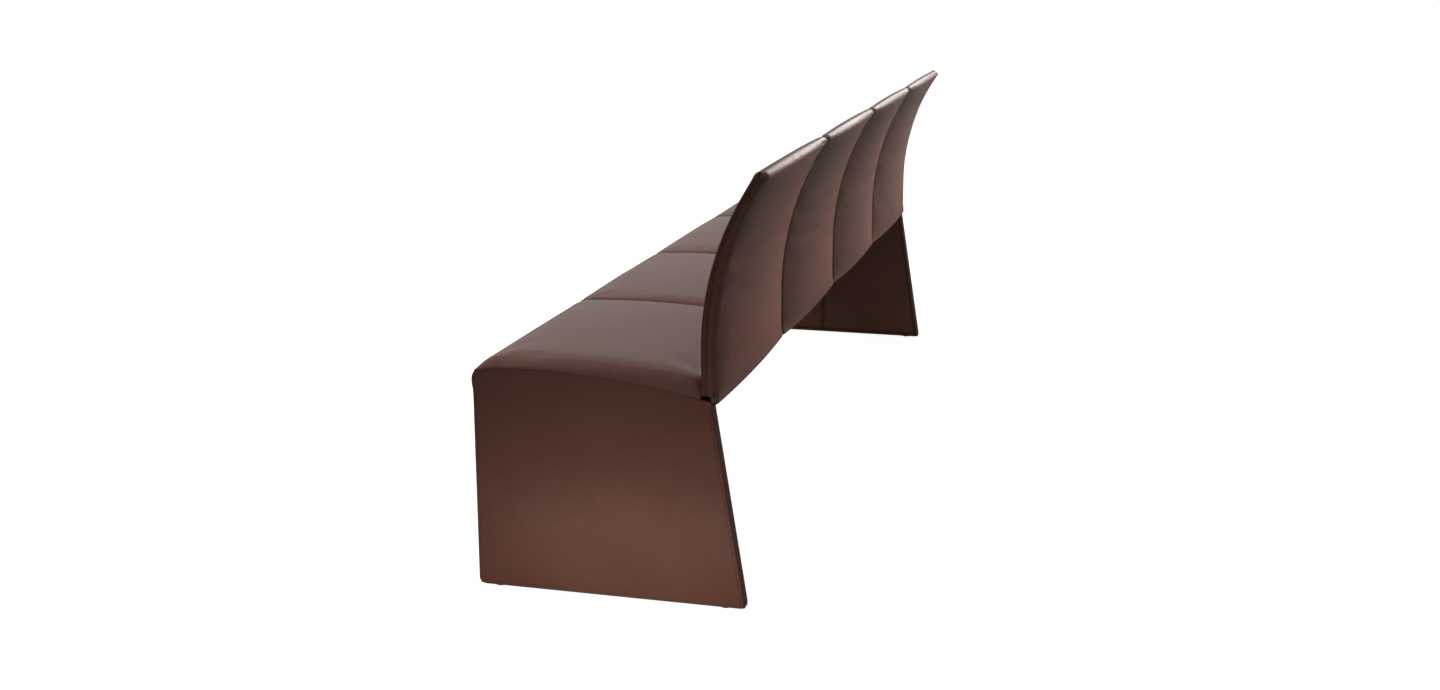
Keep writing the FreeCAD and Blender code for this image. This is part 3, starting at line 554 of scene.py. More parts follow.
def seatPath():
    # from the apron's lower edge up over the nose and back down behind the seat
    cut = seatCut
    hem, nose, rear = cut["hem"], cut["noseRadius"], cut["rearRun"]
    noseTop = seatTop(nose)
    rearStart = seatDepth - rear
    rearTop = seatTop(rearStart)
    top = np.linspace(nose, rearStart, 60)[1:-1]
    return np.concatenate([
        [(hem, seatLow.z)], arc((hem, seatLow.z + hem), hem, -90, -180, 5)[1:],
        arc((nose, noseTop - nose), nose, 180, 90, 24),
        np.stack([top, seatTop(top)], axis=1),
        np.array([rearStart, rearTop - cut["rearFall"]]) + arc((0, 0), 1, 90, 0, 12) * (rear, cut["rearFall"]),
        [(seatDepth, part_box("seat_board_2")[0].z)],
    ])


def toSpace(across, side):
    # side is an array of (setback, height)
    across = np.broadcast_to(across, side.shape[:-1])
    return np.stack([across, side[..., 0] + frontEdge, side[..., 1]], axis=-1)


fineEdge = np.array([0, 0.0005, 0.0012, 0.0022, 0.0036, 0.0055, 0.008, 0.0115, 0.016, 0.022, 0.029, 0.038])


def columnPlaces(start, finish, step, fineLast=True):
    # places across a section, close together beside its seams
    low = start + fineEdge
    high = (finish - fineEdge)[::-1] if fineLast else np.array([finish])
    count = max(2, int(round((high[0] - low[-1]) / step)))
    return np.concatenate([low, np.linspace(low[-1], high[0], count + 1)[1:-1], high])


# Sections of the seat and the back

def sectionSpan(number):
    # the first section is built as the right end, then turned over
    start, finish = sectionEdges[number - 1] + seamHalf, sectionEdges[number] - seamHalf
    return (-finish, -start) if number == 1 else (start, finish)


def coverSection(name, section, material, flip, crease, held):
    # held is a list of shares by point, row or column, and the largest one counts
    piece = stuffed(name, *section, material, flip=flip)
    paintCreaseShade(piece, crease)
    letSwell(piece, *section, np.maximum.reduce(np.broadcast_arrays(*held)))
    return piece


def joinSections(name, number, section):
    # the seam allowance at a middle section's right side, and the second one's left side too
    if 1 < number < sectionCount:
        for seam, column, shift in ((number, -1, seamHalf), (1, 0, -seamHalf))[:2 if number == 2 else 1]:
            lines = [grid[:, column] + Vector((shift, 0, 0)) for grid in section]
            seamAllowance(f"{name}{seam}", *lines)


def seatSection(number):
    cut = seatCut
    first, atEnd = number == 1, number in (1, sectionCount)
    start, finish = sectionSpan(number)
    path = seatPath()
    lengths = pathLengths(path)
    total, half = lengths[-1], len(path) // 2
    above = path[:, 1] - panelTop(np.clip(path[:, 0], cut["lipFront"], None))
    crossings = [np.interp(0, above[:half], lengths[:half]), np.interp(0, -above[half:], lengths[half:])]
    rowsAt = np.unique(np.concatenate([
        np.linspace(0, 0.006, 4), np.arange(0.012, total - 0.055, cut["rowStep"]),
        np.linspace(total - 0.055, total, 17), *[(c - 0.0001, c + 0.0001) for c in crossings]]))
    side = resample(path, weights=rowsAt / total)
    outward = sideNormals(side)
    rollColumns, wallColumns = cut["rollColumns"], cut["wallColumns"]
    flat = columnPlaces(start, cut["flatEnd"] if atEnd else finish, cut["columnStep"], not atEnd)
    rows, columns = len(side), len(flat) + (rollColumns + wallColumns + 2) * atEnd
    # 0 on the top and 1 at the lip, where the wall meets the end panel
    wallShare = np.clip((np.arange(columns) - (columns - wallColumns - 2)) / (wallColumns + 1), 0, 1)
    grid, inner = np.zeros((2, rows, columns, 3))
    crease, seamGap = np.zeros((2, rows, columns))
    grooveDepth = np.interp(side[:, 0], [0.0, 0.03, 0.18, 0.31, seatDepth],
                            [cut["grooveFront"] * 0.5, cut["grooveFront"], 0.0125, cut["grooveRear"],
                             cut["grooveRear"] * 0.9])
    grooveDepth *= smooth(seatLow.z - 0.01, seatLow.z + 0.05, side[:, 1]) * 0.85 + 0.15
    for r in range(rows):
        setback, height = side[r]
        overPanel = crossings[0] < rowsAt[r] < crossings[1]
        limit = halfLength if overPanel else panelInside - 0.0004
        panelHere = float(panelTop(max(setback, cut["lipFront"])))
        if atEnd:
            lip = np.array([max(setback, cut["lipFront"]), panelHere - cut["lipOverlap"]])
            reach = np.linalg.norm(side[r] - lip)
            roll = cut["rollShare"] * reach if overPanel else 0.002
            run = min(cut["rollRun"], 1.6 * reach) if overPanel else 0.002
            bend = np.linspace(0, math.pi / 2, rollColumns + 1)
            toLip = (lip - side[r]) / max(reach, 1e-6) if overPanel else -outward[r]
            rollSide = side[r] + np.outer(roll * (1 - np.cos(bend) ** cut["rollPower"]), toLip)
            wallEnd = lip if overPanel else rollSide[-1] + toLip * 0.001
            wall = np.linspace(rollSide[-1], wallEnd, wallColumns + 2)[1:]
            bulge = (cut["rollBulge"] * smooth(0, 0.02, reach) * overPanel
                     * np.sin(math.pi * (0.25 + 0.75 * np.linspace(0, 1, wallColumns + 2))))
            rollX = limit - run + (run + bulge[0]) * np.sin(bend) ** cut["rollPower"]
            x = np.concatenate([flat, rollX, limit + bulge[1:]])
            points = np.concatenate([np.repeat(side[r:r + 1], len(flat), axis=0), rollSide, wall])
            fromSeam = x - start
            between = (x - start) / (limit - start)
            crown = cut["crownDepth"] * (2 * between - 1) ** 2 * (between < 0.5)
            fromEnd = np.clip(1 - (limit - x) / 0.12, 0, 1) ** 2
            crown = crown + cut["endCrown"] * fromEnd * smooth(0.03, 0.09, setback) * (1 - wallShare)
        else:
            x = flat
            points = np.repeat(side[r:r + 1], columns, axis=0)
            fromSeam = np.minimum(x - start, finish - x)
            between = (x - start) / (finish - start)
            crown = cut["crownDepth"] * (2 * between - 1) ** 2
        drop = grooveDepth[r] * roundDrop(fromSeam, cut["grooveWidth"])
        fade = smooth(0.0, 0.03, setback) * 0.8 + 0.2
        points = points - outward[r] * (drop + crown * fade)[:, None]
        # past the last bracket the foam fills the gap in front of the backrest
        filled = smooth(cut["reachFrom"], cut["flatEnd"], x) * smooth(0.40, seatDepth, points[:, 0]) * atEnd
        points[:, 0] += cut["rearReach"] * filled
        grid[r] = toSpace(x, points)
        seamGap[r] = fromSeam
        # painted shade: the leather darkens towards the seams' grooves
        crease[r] = np.clip(1 - fromSeam / cut["creaseShadeWidth"], 0, 1)
        # the underside lies on the board, and above the end panel
        innerX = x
        if atEnd:
            innerX = np.minimum(x, limit - cut["skin"])
            # painted shade on the lip's wall, where it meets the end panel
            crease[r, -2:] = (0.2, 0.7) if overPanel else 0.0
        onPanel, overCore = innerX > panelInside - 0.0002, panelHere + 0.0003
        under = np.where(onPanel, overCore, boardTop)
        if height < boardTop and setback < apronBack:
            innerSide = np.stack([np.full(columns, apronBack - 0.0005), np.full(columns, height)], axis=1)
            innerSide[onPanel & overPanel] = max(setback + 0.002, cut["lipFront"]), min(overCore, height)
        elif setback > boardRear:
            rearSetback = np.where(onPanel, min(setback, seatDepth - 0.0015), boardRear + 0.001)
            innerSide = np.stack([rearSetback, np.minimum(under, height)], axis=1)
        else:
            innerSide = np.stack([np.full(columns, max(setback, apronBack - 0.0005)),
                                  np.minimum(under, points[:, 1] - 0.0005)], axis=1)
            innerSide[onPanel] = max(setback, cut["lipFront"]), overCore
        inner[r] = toSpace(innerX, innerSide)
    if first:
        grid[..., 0] *= -1
        inner[..., 0] *= -1
    grid[..., 2] += cut["pucker"] * puckers(grid, seamGap, 0.020, number)
    held = [1 - smooth(0.004, 0.022, seamGap), (1 - smooth(0.025, 0.050, rowsAt))[:, None],
            (1 - smooth(0.030, 0.050, total - rowsAt))[:, None]]
    if atEnd:
        held.append(smooth(columns - wallColumns - 5, columns - wallColumns, np.arange(columns))[None])
    piece = coverSection(f"seat_section_{number}", (grid, inner), seatLeather, not first, crease, held)
    standFor(piece, "seat_leather", cut["fill"], f"seat_cover_{number}", f"seat_pad_{number}")
    joinSections("seat_seam_", number, (grid, inner))


for number in range(1, sectionCount + 1):
    seatSection(number)
print("seat sections made")


# Backrest, as curves in the side view

backCut = {
    "setback": 0.466, "thickness": 0.034, "headThickness": 0.031, "bendHeight": 0.522, "frontRadius": 0.590,
    "rollHeight": 0.852, "rollRise": 0.012, "frontBottom": 0.430, "rearBottom": 0.408, "hemRound": 0.005,
    "flapFront": 0.4705, "creaseShadeWidth": 0.004, "topCreaseShadeWidth": 0.003, "innerTop": 0.840, "besidePanel": 0.005,
    "hiddenBelow": 0.4275, "lift": 0.0030, "liftWidth": 0.018, "liftReach": 0.050,
    "stripFront": 0.0040, "stripRear": 0.0155, "stripRearTop": 0.0095, "stripTip": 0.0030, "stripTop": 0.846,
    "topPuff": 0.0010, "topCrown": 0.0030, "topGroove": 0.0110, "topGrooveWidth": 0.030, "pucker": 0.0006,
    "cornerRadius": 0.018, "topSeamDepth": 0.0022, "topSeamWidth": 0.006, "columnStep": 0.012, "rowStep": 0.008,
    "turnColumns": 8, "tuck": 0.0016, "flapRound": 0.002, "frontHem": 0.003, "fill": 0.9,
    "rear": {"puff": 0.0050, "crown": 0.0120, "crownWidth": 0.30, "endCrown": 0.8, "groove": 0.0034,
             "grooveWidth": 0.014, "turn": 0.022, "hemRows": (0.045, 11), "rowsFrom": 0.055, "hem": 0.03,
             "innerLow": 0.4132, "deep": ((0.801, 0.0218), (1.0, 0.0156))},
    "front": {"puff": 0.0, "crown": 0.0060, "crownWidth": 0.28, "endCrown": 0.35, "groove": 0.0050,
              "grooveWidth": 0.020, "turn": 0.0045, "hemRows": (0.008, 4), "rowsFrom": 0.018, "hem": 0.0,
              "innerLow": 0.4305, "deep": ((0.524, 0.0052), (0.801, 0.0112), (1.0, 0.0150))},
}
stripCut = {"puff": 0.0016, "face": 0.0022, "deep": 0.0034, "across": 9, "rowStep": 0.010, "fill": 1.0}


def bendSlope(height):
    # how far the front face leans back at a height, as a cosine
    cut = backCut
    lift = np.clip(height - cut["bendHeight"], 0, None)
    return np.sqrt(cut["frontRadius"] ** 2 - lift ** 2) / cut["frontRadius"]


def frontFace(height):
    cut = backCut
    lift = np.clip(height - cut["bendHeight"], 0, None)
    return cut["setback"] + cut["frontRadius"] - np.sqrt(cut["frontRadius"] ** 2 - lift ** 2)


def rearFace(height):
    cut = backCut
    rise = cut["rollHeight"] - cut["bendHeight"]
    run = frontFace(cut["rollHeight"]) - cut["setback"] + cut["headThickness"] - cut["thickness"]
    radius = (run ** 2 + rise ** 2) / (2 * run)
    lift = np.clip(height - cut["bendHeight"], 0, None)
    return cut["setback"] + cut["thickness"] + radius - np.sqrt(radius ** 2 - lift ** 2)


def rollCircle():
    cut = backCut
    rear, front = rearFace(cut["rollHeight"]), frontFace(cut["rollHeight"])
    chord = rear - front
    radius = (chord ** 2 / 4 + cut["rollRise"] ** 2) / (2 * cut["rollRise"])
    centre = ((rear + front) / 2, cut["rollHeight"] + cut["rollRise"] - radius)
    lean = math.degrees(math.atan2(cut["rollHeight"] - centre[1], chord / 2))
    return centre, radius, lean


def rearPath():
    cut = backCut
    centre, radius, lean = rollCircle()
    hem, flap = cut["hemRound"], cut["flapRound"]
    bottom, rear = cut["rearBottom"], cut["setback"] + cut["thickness"]
    heights = np.linspace(bottom + hem, cut["rollHeight"], 60)[1:-1]
    return np.concatenate([
        [(cut["flapFront"], bottom + 0.003)], arc((cut["flapFront"] + flap, bottom + flap), flap, 180, 270, 4),
        arc((rear - hem, bottom + hem), hem, -90, 0, 6),
        np.stack([rearFace(heights), heights], axis=1),
        arc(centre, radius, lean, 90, 9)])


def frontPath():
    cut = backCut
    centre, radius, lean = rollCircle()
    hem, bottom = cut["frontHem"], cut["frontBottom"]
    heights = np.linspace(bottom + hem, cut["rollHeight"], 60)[:-1]
    return np.concatenate([
        arc((cut["setback"] + hem, bottom + hem), hem, -90, -180, 4)[:-1],
        np.stack([frontFace(heights), heights], axis=1),
        arc(centre, radius, 180 - lean, 90, 9)])


def stripEdge(height, rear):
    # the seams at the two sides of the end strip
    cut = backCut
    wide = cut["stripFront"]
    if rear:
        wide = lerp(cut["stripRear"], cut["stripRearTop"], smooth(0.56, 0.74, height))
    return frontFace(height) + wide / bendSlope(height)


def stripTip():
    top = backCut["stripTop"]
    return np.array([(stripEdge(top, False) + stripEdge(top, True)) / 2, top])


def endPoint(point, rear):
    # where a point of the cover's side view meets the seam of the end strip
    cut = backCut
    top = cut["stripTop"]
    if point[1] < top:
        return np.array([stripEdge(point[1], rear), point[1]])
    way = point - stripTip()
    return stripTip() + way / np.linalg.norm(way) * cut["stripTip"]


def backSection(number, rear):
    place = "rear" if rear else "front"
    cut, look = backCut, backCut[place]
    first, atEnd = number == 1, number in (1, sectionCount)
    start, finish = sectionSpan(number)
    path = rearPath() if rear else frontPath()
    total = pathLengths(path)[-1]
    rollRadius, lean = rollCircle()[1:]
    rollStart = total - rollRadius * math.radians(90 - lean)
    rowsAt = np.unique(np.concatenate([
        np.linspace(0, *look["hemRows"]), np.arange(look["rowsFrom"], total - 0.030, cut["rowStep"]),
        np.linspace(total - 0.030, total - 0.006, 5), total - fineEdge[:6],
        rollStart + np.array([-0.0024, -0.0012, -0.0004, 0.0004, 0.0012, 0.0024])]))
    side = resample(path, weights=rowsAt / total)
    outward = sideNormals(side, -1 if rear else 1)
    toTop = total - rowsAt
    if atEnd:
        limit, turn = halfLength - 0.0004, look["turn"]
        flat = columnPlaces(start, limit - turn - 0.004, cut["columnStep"], False)
        bend = np.linspace(0, math.pi / 2, cut["turnColumns"] + 1)
        x = np.concatenate([flat, limit - turn + turn * np.sin(bend), [limit - cut["tuck"]]])
        toward = np.concatenate([np.zeros(len(flat)), 1 - np.cos(bend), [1.0]])
        fromSeam, innerX = x - start, np.minimum(x, limit - 0.003)
        corner = np.clip((x - (halfLength - cut["cornerRadius"])) / cut["cornerRadius"], 0, 1)
    else:
        x = innerX = columnPlaces(start, finish, cut["columnStep"])
        toward, fromSeam = np.zeros(len(x)), np.minimum(x - start, finish - x)
    rows, columns = len(side), len(x)
    grid, inner, crease = np.zeros((rows, columns, 3)), np.zeros((rows, columns, 3)), np.zeros((rows, columns))
    crownShare = np.clip(1 - fromSeam / look["crownWidth"], 0, 1) ** 2
    if atEnd:
        crownShare = crownShare + look["endCrown"] * np.clip(1 - (limit - x) / look["crownWidth"], 0, 1) ** 2
    # below the panel's top the cover keeps behind it
    behind = cut["setback"] + cut["thickness"] - cut["hemRound"] - 0.0005
    besidePanel = x > panelInside - cut["besidePanel"]
    for r in range(rows):
        nearTop = 1 - smooth(0.0, 0.060, toTop[r])
        crown = lerp(look["crown"], cut["topCrown"], nearTop) * crownShare
        drop = lerp(look["groove"] * roundDrop(fromSeam, look["grooveWidth"]),
                    cut["topGroove"] * roundDrop(fromSeam, cut["topGrooveWidth"]), nearTop)
        swell = lerp(look["puff"], cut["topPuff"], nearTop)
        seam = cut["topSeamDepth"] * roundDrop(toTop[r], cut["topSeamWidth"])
        low = 1 - smooth(0.0, 0.03, rowsAt[r] - look["hem"])
        dent = (crown + drop - swell * (1 - toward)) * (1 - 0.5 * low) + seam
        points = side[r] - outward[r] * dent[:, None]
        if atEnd:
            meet = endPoint(side[r], rear)
            points = points + (meet - points) * toward[:, None]
        if rear:
            # near a seam the lower edge is drawn up a little, and the end's lower corner is rounded
            lift = cut["lift"] * roundDrop(fromSeam, cut["liftWidth"])
            if atEnd:
                lift = lift + cut["cornerRadius"] * (1 - np.sqrt(1 - corner ** 2))
            reach = cut["liftReach"]
            points[:, 1] += lift * np.clip((cut["rearBottom"] + reach - points[:, 1]) / reach, 0, 1)
            if atEnd:
                hidden = besidePanel & (points[:, 1] < cut["hiddenBelow"])
                points[:, 0] = np.where(hidden, np.maximum(points[:, 0], behind), points[:, 0])
        grid[r] = toSpace(x, points)
        # painted shade along the seams and along the top seam
        crease[r] = np.maximum(np.clip(1 - fromSeam / cut["creaseShadeWidth"], 0, 1),
                               np.clip(1 - toTop[r] / cut["topCreaseShadeWidth"], 0, 1))
        innerHeight = float(np.clip(side[r, 1], look["innerLow"], cut["innerTop"]))
        deep = next(depth for top, depth in look["deep"] if innerHeight < top)
        innerSetback = frontFace(innerHeight) + deep / bendSlope(innerHeight)
        if rear:
            # painted shade over the rear cover's turn round the end
            crease[r] = np.maximum(crease[r], 0.40 * smooth(0.25, 1.0, toward))
            if rowsAt[r] < 0.025:
                innerSetback = min(side[r, 0] + 0.0005, innerSetback)
        innerSide = np.full((columns, 2), (innerSetback, innerHeight))
        if rear and atEnd:
            hidden = besidePanel & (innerHeight < cut["hiddenBelow"])
            innerSide[hidden, 0] = np.maximum(innerSide[hidden, 0], behind + 0.0005)
            innerSide[:, 1] = np.maximum(innerSide[:, 1], np.minimum(points[:, 1] + 0.0006, cut["innerTop"]))
        if atEnd:
            innerSide[toward > 0.5] = lerp(innerSide[toward > 0.5], meet, 0.5)
        inner[r] = toSpace(innerX, innerSide)
    if first:
        grid[..., 0] *= -1
        inner[..., 0] *= -1
    folds = puckers(grid, np.broadcast_to(fromSeam, crease.shape), 0.024, 10 + number)
    grid[..., 1] += cut["pucker"] * folds * (1 + 1.2 * np.exp(-toTop / 0.09) - np.exp(-toTop / 0.012))[:, None]
    held = [np.broadcast_to(1 - smooth(0.004, 0.022, fromSeam), crease.shape),
            (1 - smooth(0.030, 0.055, rowsAt))[:, None], (1 - smooth(0.002, 0.016, toTop))[:, None]]
    if atEnd:
        held.append(smooth(columns - cut["turnColumns"] - 3, columns - 4, np.arange(columns))[None])
    piece = coverSection(f"back_{place}_section_{number}", (grid, inner), backLeather, rear == first,
                         crease, held)
    standFor(piece, "back_leather", cut["fill"], f"back_{place}_cover_{number}", f"back_{place}_pad")
    joinSections(f"back_{place}_seam_", number, (grid, inner))


def endStrip(side, sign):
    # the narrow leather between the front and rear covers at each end of the backrest
    cut, strip = backCut, stripCut
    heights = [*np.arange(cut["frontBottom"], cut["stripTop"], strip["rowStep"]), cut["stripTop"]]
    share = np.linspace(0, 1, strip["across"])
    level = np.ones(len(share))
    rows = [np.stack([lerp(stripEdge(height, False), stripEdge(height, True), share), height * level], axis=1)
            for height in heights]
    tip, half = stripTip(), (stripEdge(cut["stripTop"], True) - stripEdge(cut["stripTop"], False)) / 2
    for lift in (0.35, 0.7, 0.92):
        across = tip[0] + (2 * share - 1) * half * math.sqrt(1 - lift ** 2)
        rows.append(np.stack([across, (tip[1] + lift * half) * level], axis=1))
    outline = np.array(rows)
    puff = strip["puff"] * np.sqrt(1 - (2 * share - 1) ** 2)
    outer = toSpace(sign * (halfLength - strip["face"] + puff), outline)
    inner = toSpace(sign * (halfLength - strip["deep"]), outline)
    piece = stuffed(f"back_end_strip_leather_{side}", outer, inner, backLeather, flip=side == "left")
    # painted shade along the strip's two seams, and over its rear half
    edge = np.maximum(np.abs(2 * share - 1) ** 4, 0.45 * smooth(0.2, 0.5, share))
    paintCreaseShade(piece, np.broadcast_to(edge, outline.shape[:2]))
    standFor(piece, "back_leather", strip["fill"], f"back_end_strip_{side}")


ends = (("right", 1), ("left", -1))
for number in range(1, sectionCount + 1):
    for rear in (True, False):
        backSection(number, rear)
for side, sign in ends:
    endStrip(side, sign)
print("backrest made")


# End panels

def panelOutline():
    # the panel's edge from the side: along the foot to the rear, up, forward along the top, down the front
    cut = panelCut
    corner, foot, head = cut["corner"], cut["footDepth"], cut["headDepth"]
    stand, tight = cut["stand"], cut["rearCorner"]
    lean = (foot - head) / cut["crestHeight"]
    topSetbacks = np.linspace(head, 0.006, 60)
    top = np.stack([topSetbacks, panelTop(topSetbacks)], axis=1)
    nose = np.array([(0.0035, 0.4485), (0.0015, 0.443), (0.0003, 0.436), (0.0, 0.4296)])
    frontHeights = np.linspace(0.4296, stand + corner, 40)[1:]
    front = np.stack([np.zeros(len(frontHeights)), frontHeights], axis=1)
    bottom = np.linspace(corner, foot - tight, 60)
    rearLow = np.array([foot - tight * lean, stand + tight])
    rear = np.linspace(rearLow, top[0], 44)
    return {
        "foot": np.stack([bottom, np.full(60, stand)], axis=1),
        "rearCorner": arc((foot - tight * lean - tight * 0.98, stand + tight), tight * 0.98, -90, 0, 8),
        "rear": rear[1:], "top": top[1:], "nose": nose, "front": front,
        "frontCorner": arc((corner, stand + corner), corner, 180, 270, 8),
    }


def panelRing(inset):
    # the panel's edge moved inwards, as one closed ring of points whose corners lie at fixed places
    counts = panelCut["counts"]
    inset = np.broadcast_to(inset, (sum(counts),))[:, None]
    points = panelOutline()
    half = len(points["rearCorner"]) // 2
    runs = [
        np.concatenate([points["frontCorner"][half:], points["foot"][1:], points["rearCorner"][1:half + 1]]),
        np.concatenate([points["rearCorner"][half:], points["rear"]]),
        np.concatenate([points["rear"][-1:], points["top"]]),
        np.concatenate([points["top"][-1:], points["nose"], points["front"][1:],
                        points["frontCorner"][1:half + 1]]),
    ]
    ring, normals = [], []
    for run, count in zip(runs, counts):
        placed = resample(run, count=count + 1)
        normals.append(sideNormals(placed)[:-1])
        ring.append(placed[:-1])
    ring, normals = np.concatenate(ring), np.concatenate(normals)
    smoothed = normals.copy()
    for shift in (-1, 1):
        smoothed += np.roll(normals, shift, axis=0)
    smoothed /= np.linalg.norm(smoothed, axis=1, keepdims=True)
    bulge = panelCut["noseBulge"] * np.exp(-((ring[:, 1] - panelCut["noseBulgeHeight"]) / 0.016) ** 2)
    ring[:, 0] -= bulge * (ring[:, 0] < 0.02)
    return ring + smoothed * inset


def fourSides(ring, columns, rows):
    # a ring's foot, rear, top and front, each with both of its corners
    ends = np.cumsum([0, columns, rows, columns, rows])
    closed = np.concatenate([ring, ring[:1]])
    return [closed[a:b + 1] for a, b in zip(ends, ends[1:])]


def coons(ring, columns, rows):
    # fills a ring of four sides with a grid
    foot, rear, top, front = fourSides(ring, columns, rows)
    top, front = top[::-1], front[::-1]
    u = np.linspace(0, 1, columns + 1)[None, :, None]
    v = np.linspace(0, 1, rows + 1)[:, None, None]
    sides = (1 - v) * foot[None] + v * top[None] + (1 - u) * front[:, None] + u * rear[:, None]
    corners = ((1 - u) * (1 - v) * foot[0] + u * (1 - v) * foot[-1] + (1 - u) * v * top[0] + u * v * top[-1])
    return sides - corners


def distanceTo(points, outline):
    # how far each point is from a closed line
    ends = np.roll(outline, -1, axis=0)
    best = np.full(len(points), 1e9)
    for a, b in zip(outline, ends):
        way = b - a
        share = np.clip(((points - a) @ way) / max(way @ way, 1e-12), 0, 1)
        best = np.minimum(best, np.linalg.norm(points - a - share[:, None] * way, axis=1))
    return best


def openRecesses(piece, side):
    # round openings in the lower edge, in which the glides sit
    shape = bmesh.new()
    radius, tall = panelCut["recessRadius"], panelCut["recessHeight"]
    for number in (1, 2) if side == "right" else (3, 4):
        middle = sum(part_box(f"glide_pad_{number}"), Vector()) / 2
        centre = Matrix.Translation((middle.x, middle.y, tall / 2 - 0.002))
        bmesh.ops.create_cone(shape, cap_ends=True, segments=48, radius1=radius, radius2=radius,
                              depth=tall + 0.004, matrix=centre)
    punch = bpy.data.objects.new("recess_punch", bpy.data.meshes.new("recess_punch"))
    shape.to_mesh(punch.data)
    shape.free()
    scene.collection.objects.link(punch)
    opening = piece.modifiers.new("recesses", "BOOLEAN")
    opening.operation, opening.solver, opening.object = "DIFFERENCE", "EXACT", punch
    bpy.context.view_layer.update()
    piece.data = bpy.data.meshes.new_from_object(piece.evaluated_get(bpy.context.evaluated_depsgraph_get()))
    piece.modifiers.clear()
    bpy.data.objects.remove(punch)


def outerCover(side, sign):
    cut = panelCut
    counts = cut["counts"]
    face, inside = halfLength, panelInside
    # the rounding is small under the seat's roll, and the fine seam beside the edge stops there
    place = np.arange(sum(counts))
    onTop = smooth(counts[0] + counts[1] - 3, counts[0] + counts[1] + 1, place)
    onTop = onTop * (1 - smooth(sum(counts[:3]) - 1, sum(counts[:3]) + 3, place))
    radius = lerp(cut["edgeRound"], cut["topRound"], onTop)
    seam, half = cut["seamInset"], cut["seamHalf"]
    depth = cut["seamDepth"] * (1 - onTop)
    bend = np.radians([0, 22.5, 45, 67.5, 90])
    profile = [(seam + half * 1.6, face), (seam + half, face), (seam + half * 0.4, face - depth * 0.8),
               (seam, face - depth), (seam - half * 0.4, face - depth * 0.8), (seam - half, face)]
    profile += [(radius * (1 - math.sin(b)), face - radius * (1 - math.cos(b))) for b in bend]
    profile += [(0, lerp(face - radius, inside + radius, s)) for s in (0.33, 0.67)]
    profile += [(radius * (1 - math.cos(b)), inside + radius * (1 - math.sin(b))) for b in bend]
    profile += [(radius + 0.0012, inside), (radius + 0.0020, inside + 0.0009)]
    skin = cut["skin"]
    grid = coons(panelRing(profile[0][0]), *counts[:2])
    rows, columns = grid.shape[:2]
    away = distanceTo(grid.reshape(-1, 2), panelRing(0)).reshape(rows, columns)
    puff = cut["puff"] * smooth(profile[0][0], cut["puffWidth"] + 0.02, away)
    parts = [toSpace(face + puff, grid).reshape(-1, 3)]
    innerParts = [toSpace(face - skin, grid).reshape(-1, 3)]
    shades = [np.zeros(rows * columns)]
    for inset, x in profile[1:]:
        parts.append(toSpace(x, panelRing(inset)))
        innerX = np.clip(x, inside + skin, face - skin)
        innerParts.append(toSpace(innerX, panelRing(np.maximum(inset, skin * 0.5))))
        # painted shade in the fine seam's groove beside the edge
        dent = np.clip(np.broadcast_to(face - x, place.shape) / cut["seamDepth"], 0, 1)
        shades.append(dent * 0.7 * (np.isscalar(inset) and inset > half))
    vertices = np.concatenate(parts + innerParts)
    vertices[:, 0] *= sign
    total, m = len(vertices) // 2, sum(counts)
    faces = sheetFaces(rows, columns)
    starts = range(rows * columns, total, m)
    rings = [rimOf(rows, columns)] + [list(range(start, start + m)) for start in starts]
    for a, b in zip(rings, rings[1:]):
        faces += ringFaces(a, b)
    faces += [tuple(index + total for index in face[::-1]) for face in faces]
    faces += ringFaces(rings[-1], [index + total for index in rings[-1]])
    if side == "left":
        faces = [face[::-1] for face in faces]
    piece = makePiece(f"end_leather_outer_{side}", vertices, faces, endLeather)
    paintCreaseShade(piece, np.concatenate(shades))
    openRecesses(piece, side)
    standFor(piece, "end_leather", cut["fill"], f"end_cover_outer_{side}", f"end_pad_outer_{side}",
             f"end_pad_inner_{side}")


def cutRun(run, low, high, count):
    # the foot or the top between two setbacks, from front to rear
    run = run[np.argsort(run[:, 0])]
    setbacks = np.linspace(low, high, count)
    return np.stack([setbacks, np.interp(setbacks, run[:, 0], run[:, 1])], axis=1)


def innerCover(side, sign, part):
    cut = panelCut
    foot, rear, top, front = fourSides(panelRing(cut["edgeRound"] + cut["innerInset"]), *cut["counts"][:2])
    split = cut["innerSeam"] + (-cut["splitGap"] if part == "front" else cut["splitGap"])
    columns, rows = cut["innerColumns"], cut["counts"][1]
    upright = np.full(rows + 1, split)
    if part == "front":
        footRun = cutRun(foot, foot[0, 0], split, columns + 1)
        topRun = cutRun(top, top[-1, 0], split, columns + 1)
        rearRun = np.stack([upright, np.linspace(footRun[-1, 1], topRun[-1, 1], rows + 1)], axis=1)
        frontRun = resample(front, count=rows + 1)
    else:
        footRun = cutRun(foot, split, foot[-1, 0], columns + 1)
        topRun = cutRun(top, split, top[0, 0], columns + 1)
        rearRun = resample(rear, count=rows + 1)
        frontRun = np.stack([upright, np.linspace(topRun[0, 1], footRun[0, 1], rows + 1)], axis=1)
    border = np.concatenate([footRun[:-1], rearRun[:-1], topRun[::-1][:-1], frontRun[:-1]])
    grid = coons(border, columns, rows)
    away = distanceTo(grid.reshape(-1, 2), border).reshape(grid.shape[:2])
    outer = toSpace(sign * (panelInside + cut["innerRound"] * roundDrop(away, cut["innerRoundWidth"])), grid)
    inner = toSpace(sign * (panelInside + cut["innerSkin"]), grid)
    piece = stuffed(f"end_leather_inner_{part}_{side}", outer, inner, endLeather, flip=side == "right")
    # painted shade within 2 mm of the cover's edges
    paintCreaseShade(piece, np.clip(1 - away / 0.002, 0, 1))
    standFor(piece, "end_leather", cut["fill"], f"end_cover_inner_{part}_{side}")


for side, sign in ends:
    outerCover(side, sign)
    for part in ("front", "rear"):
        innerCover(side, sign, part)
print("end panels covered")


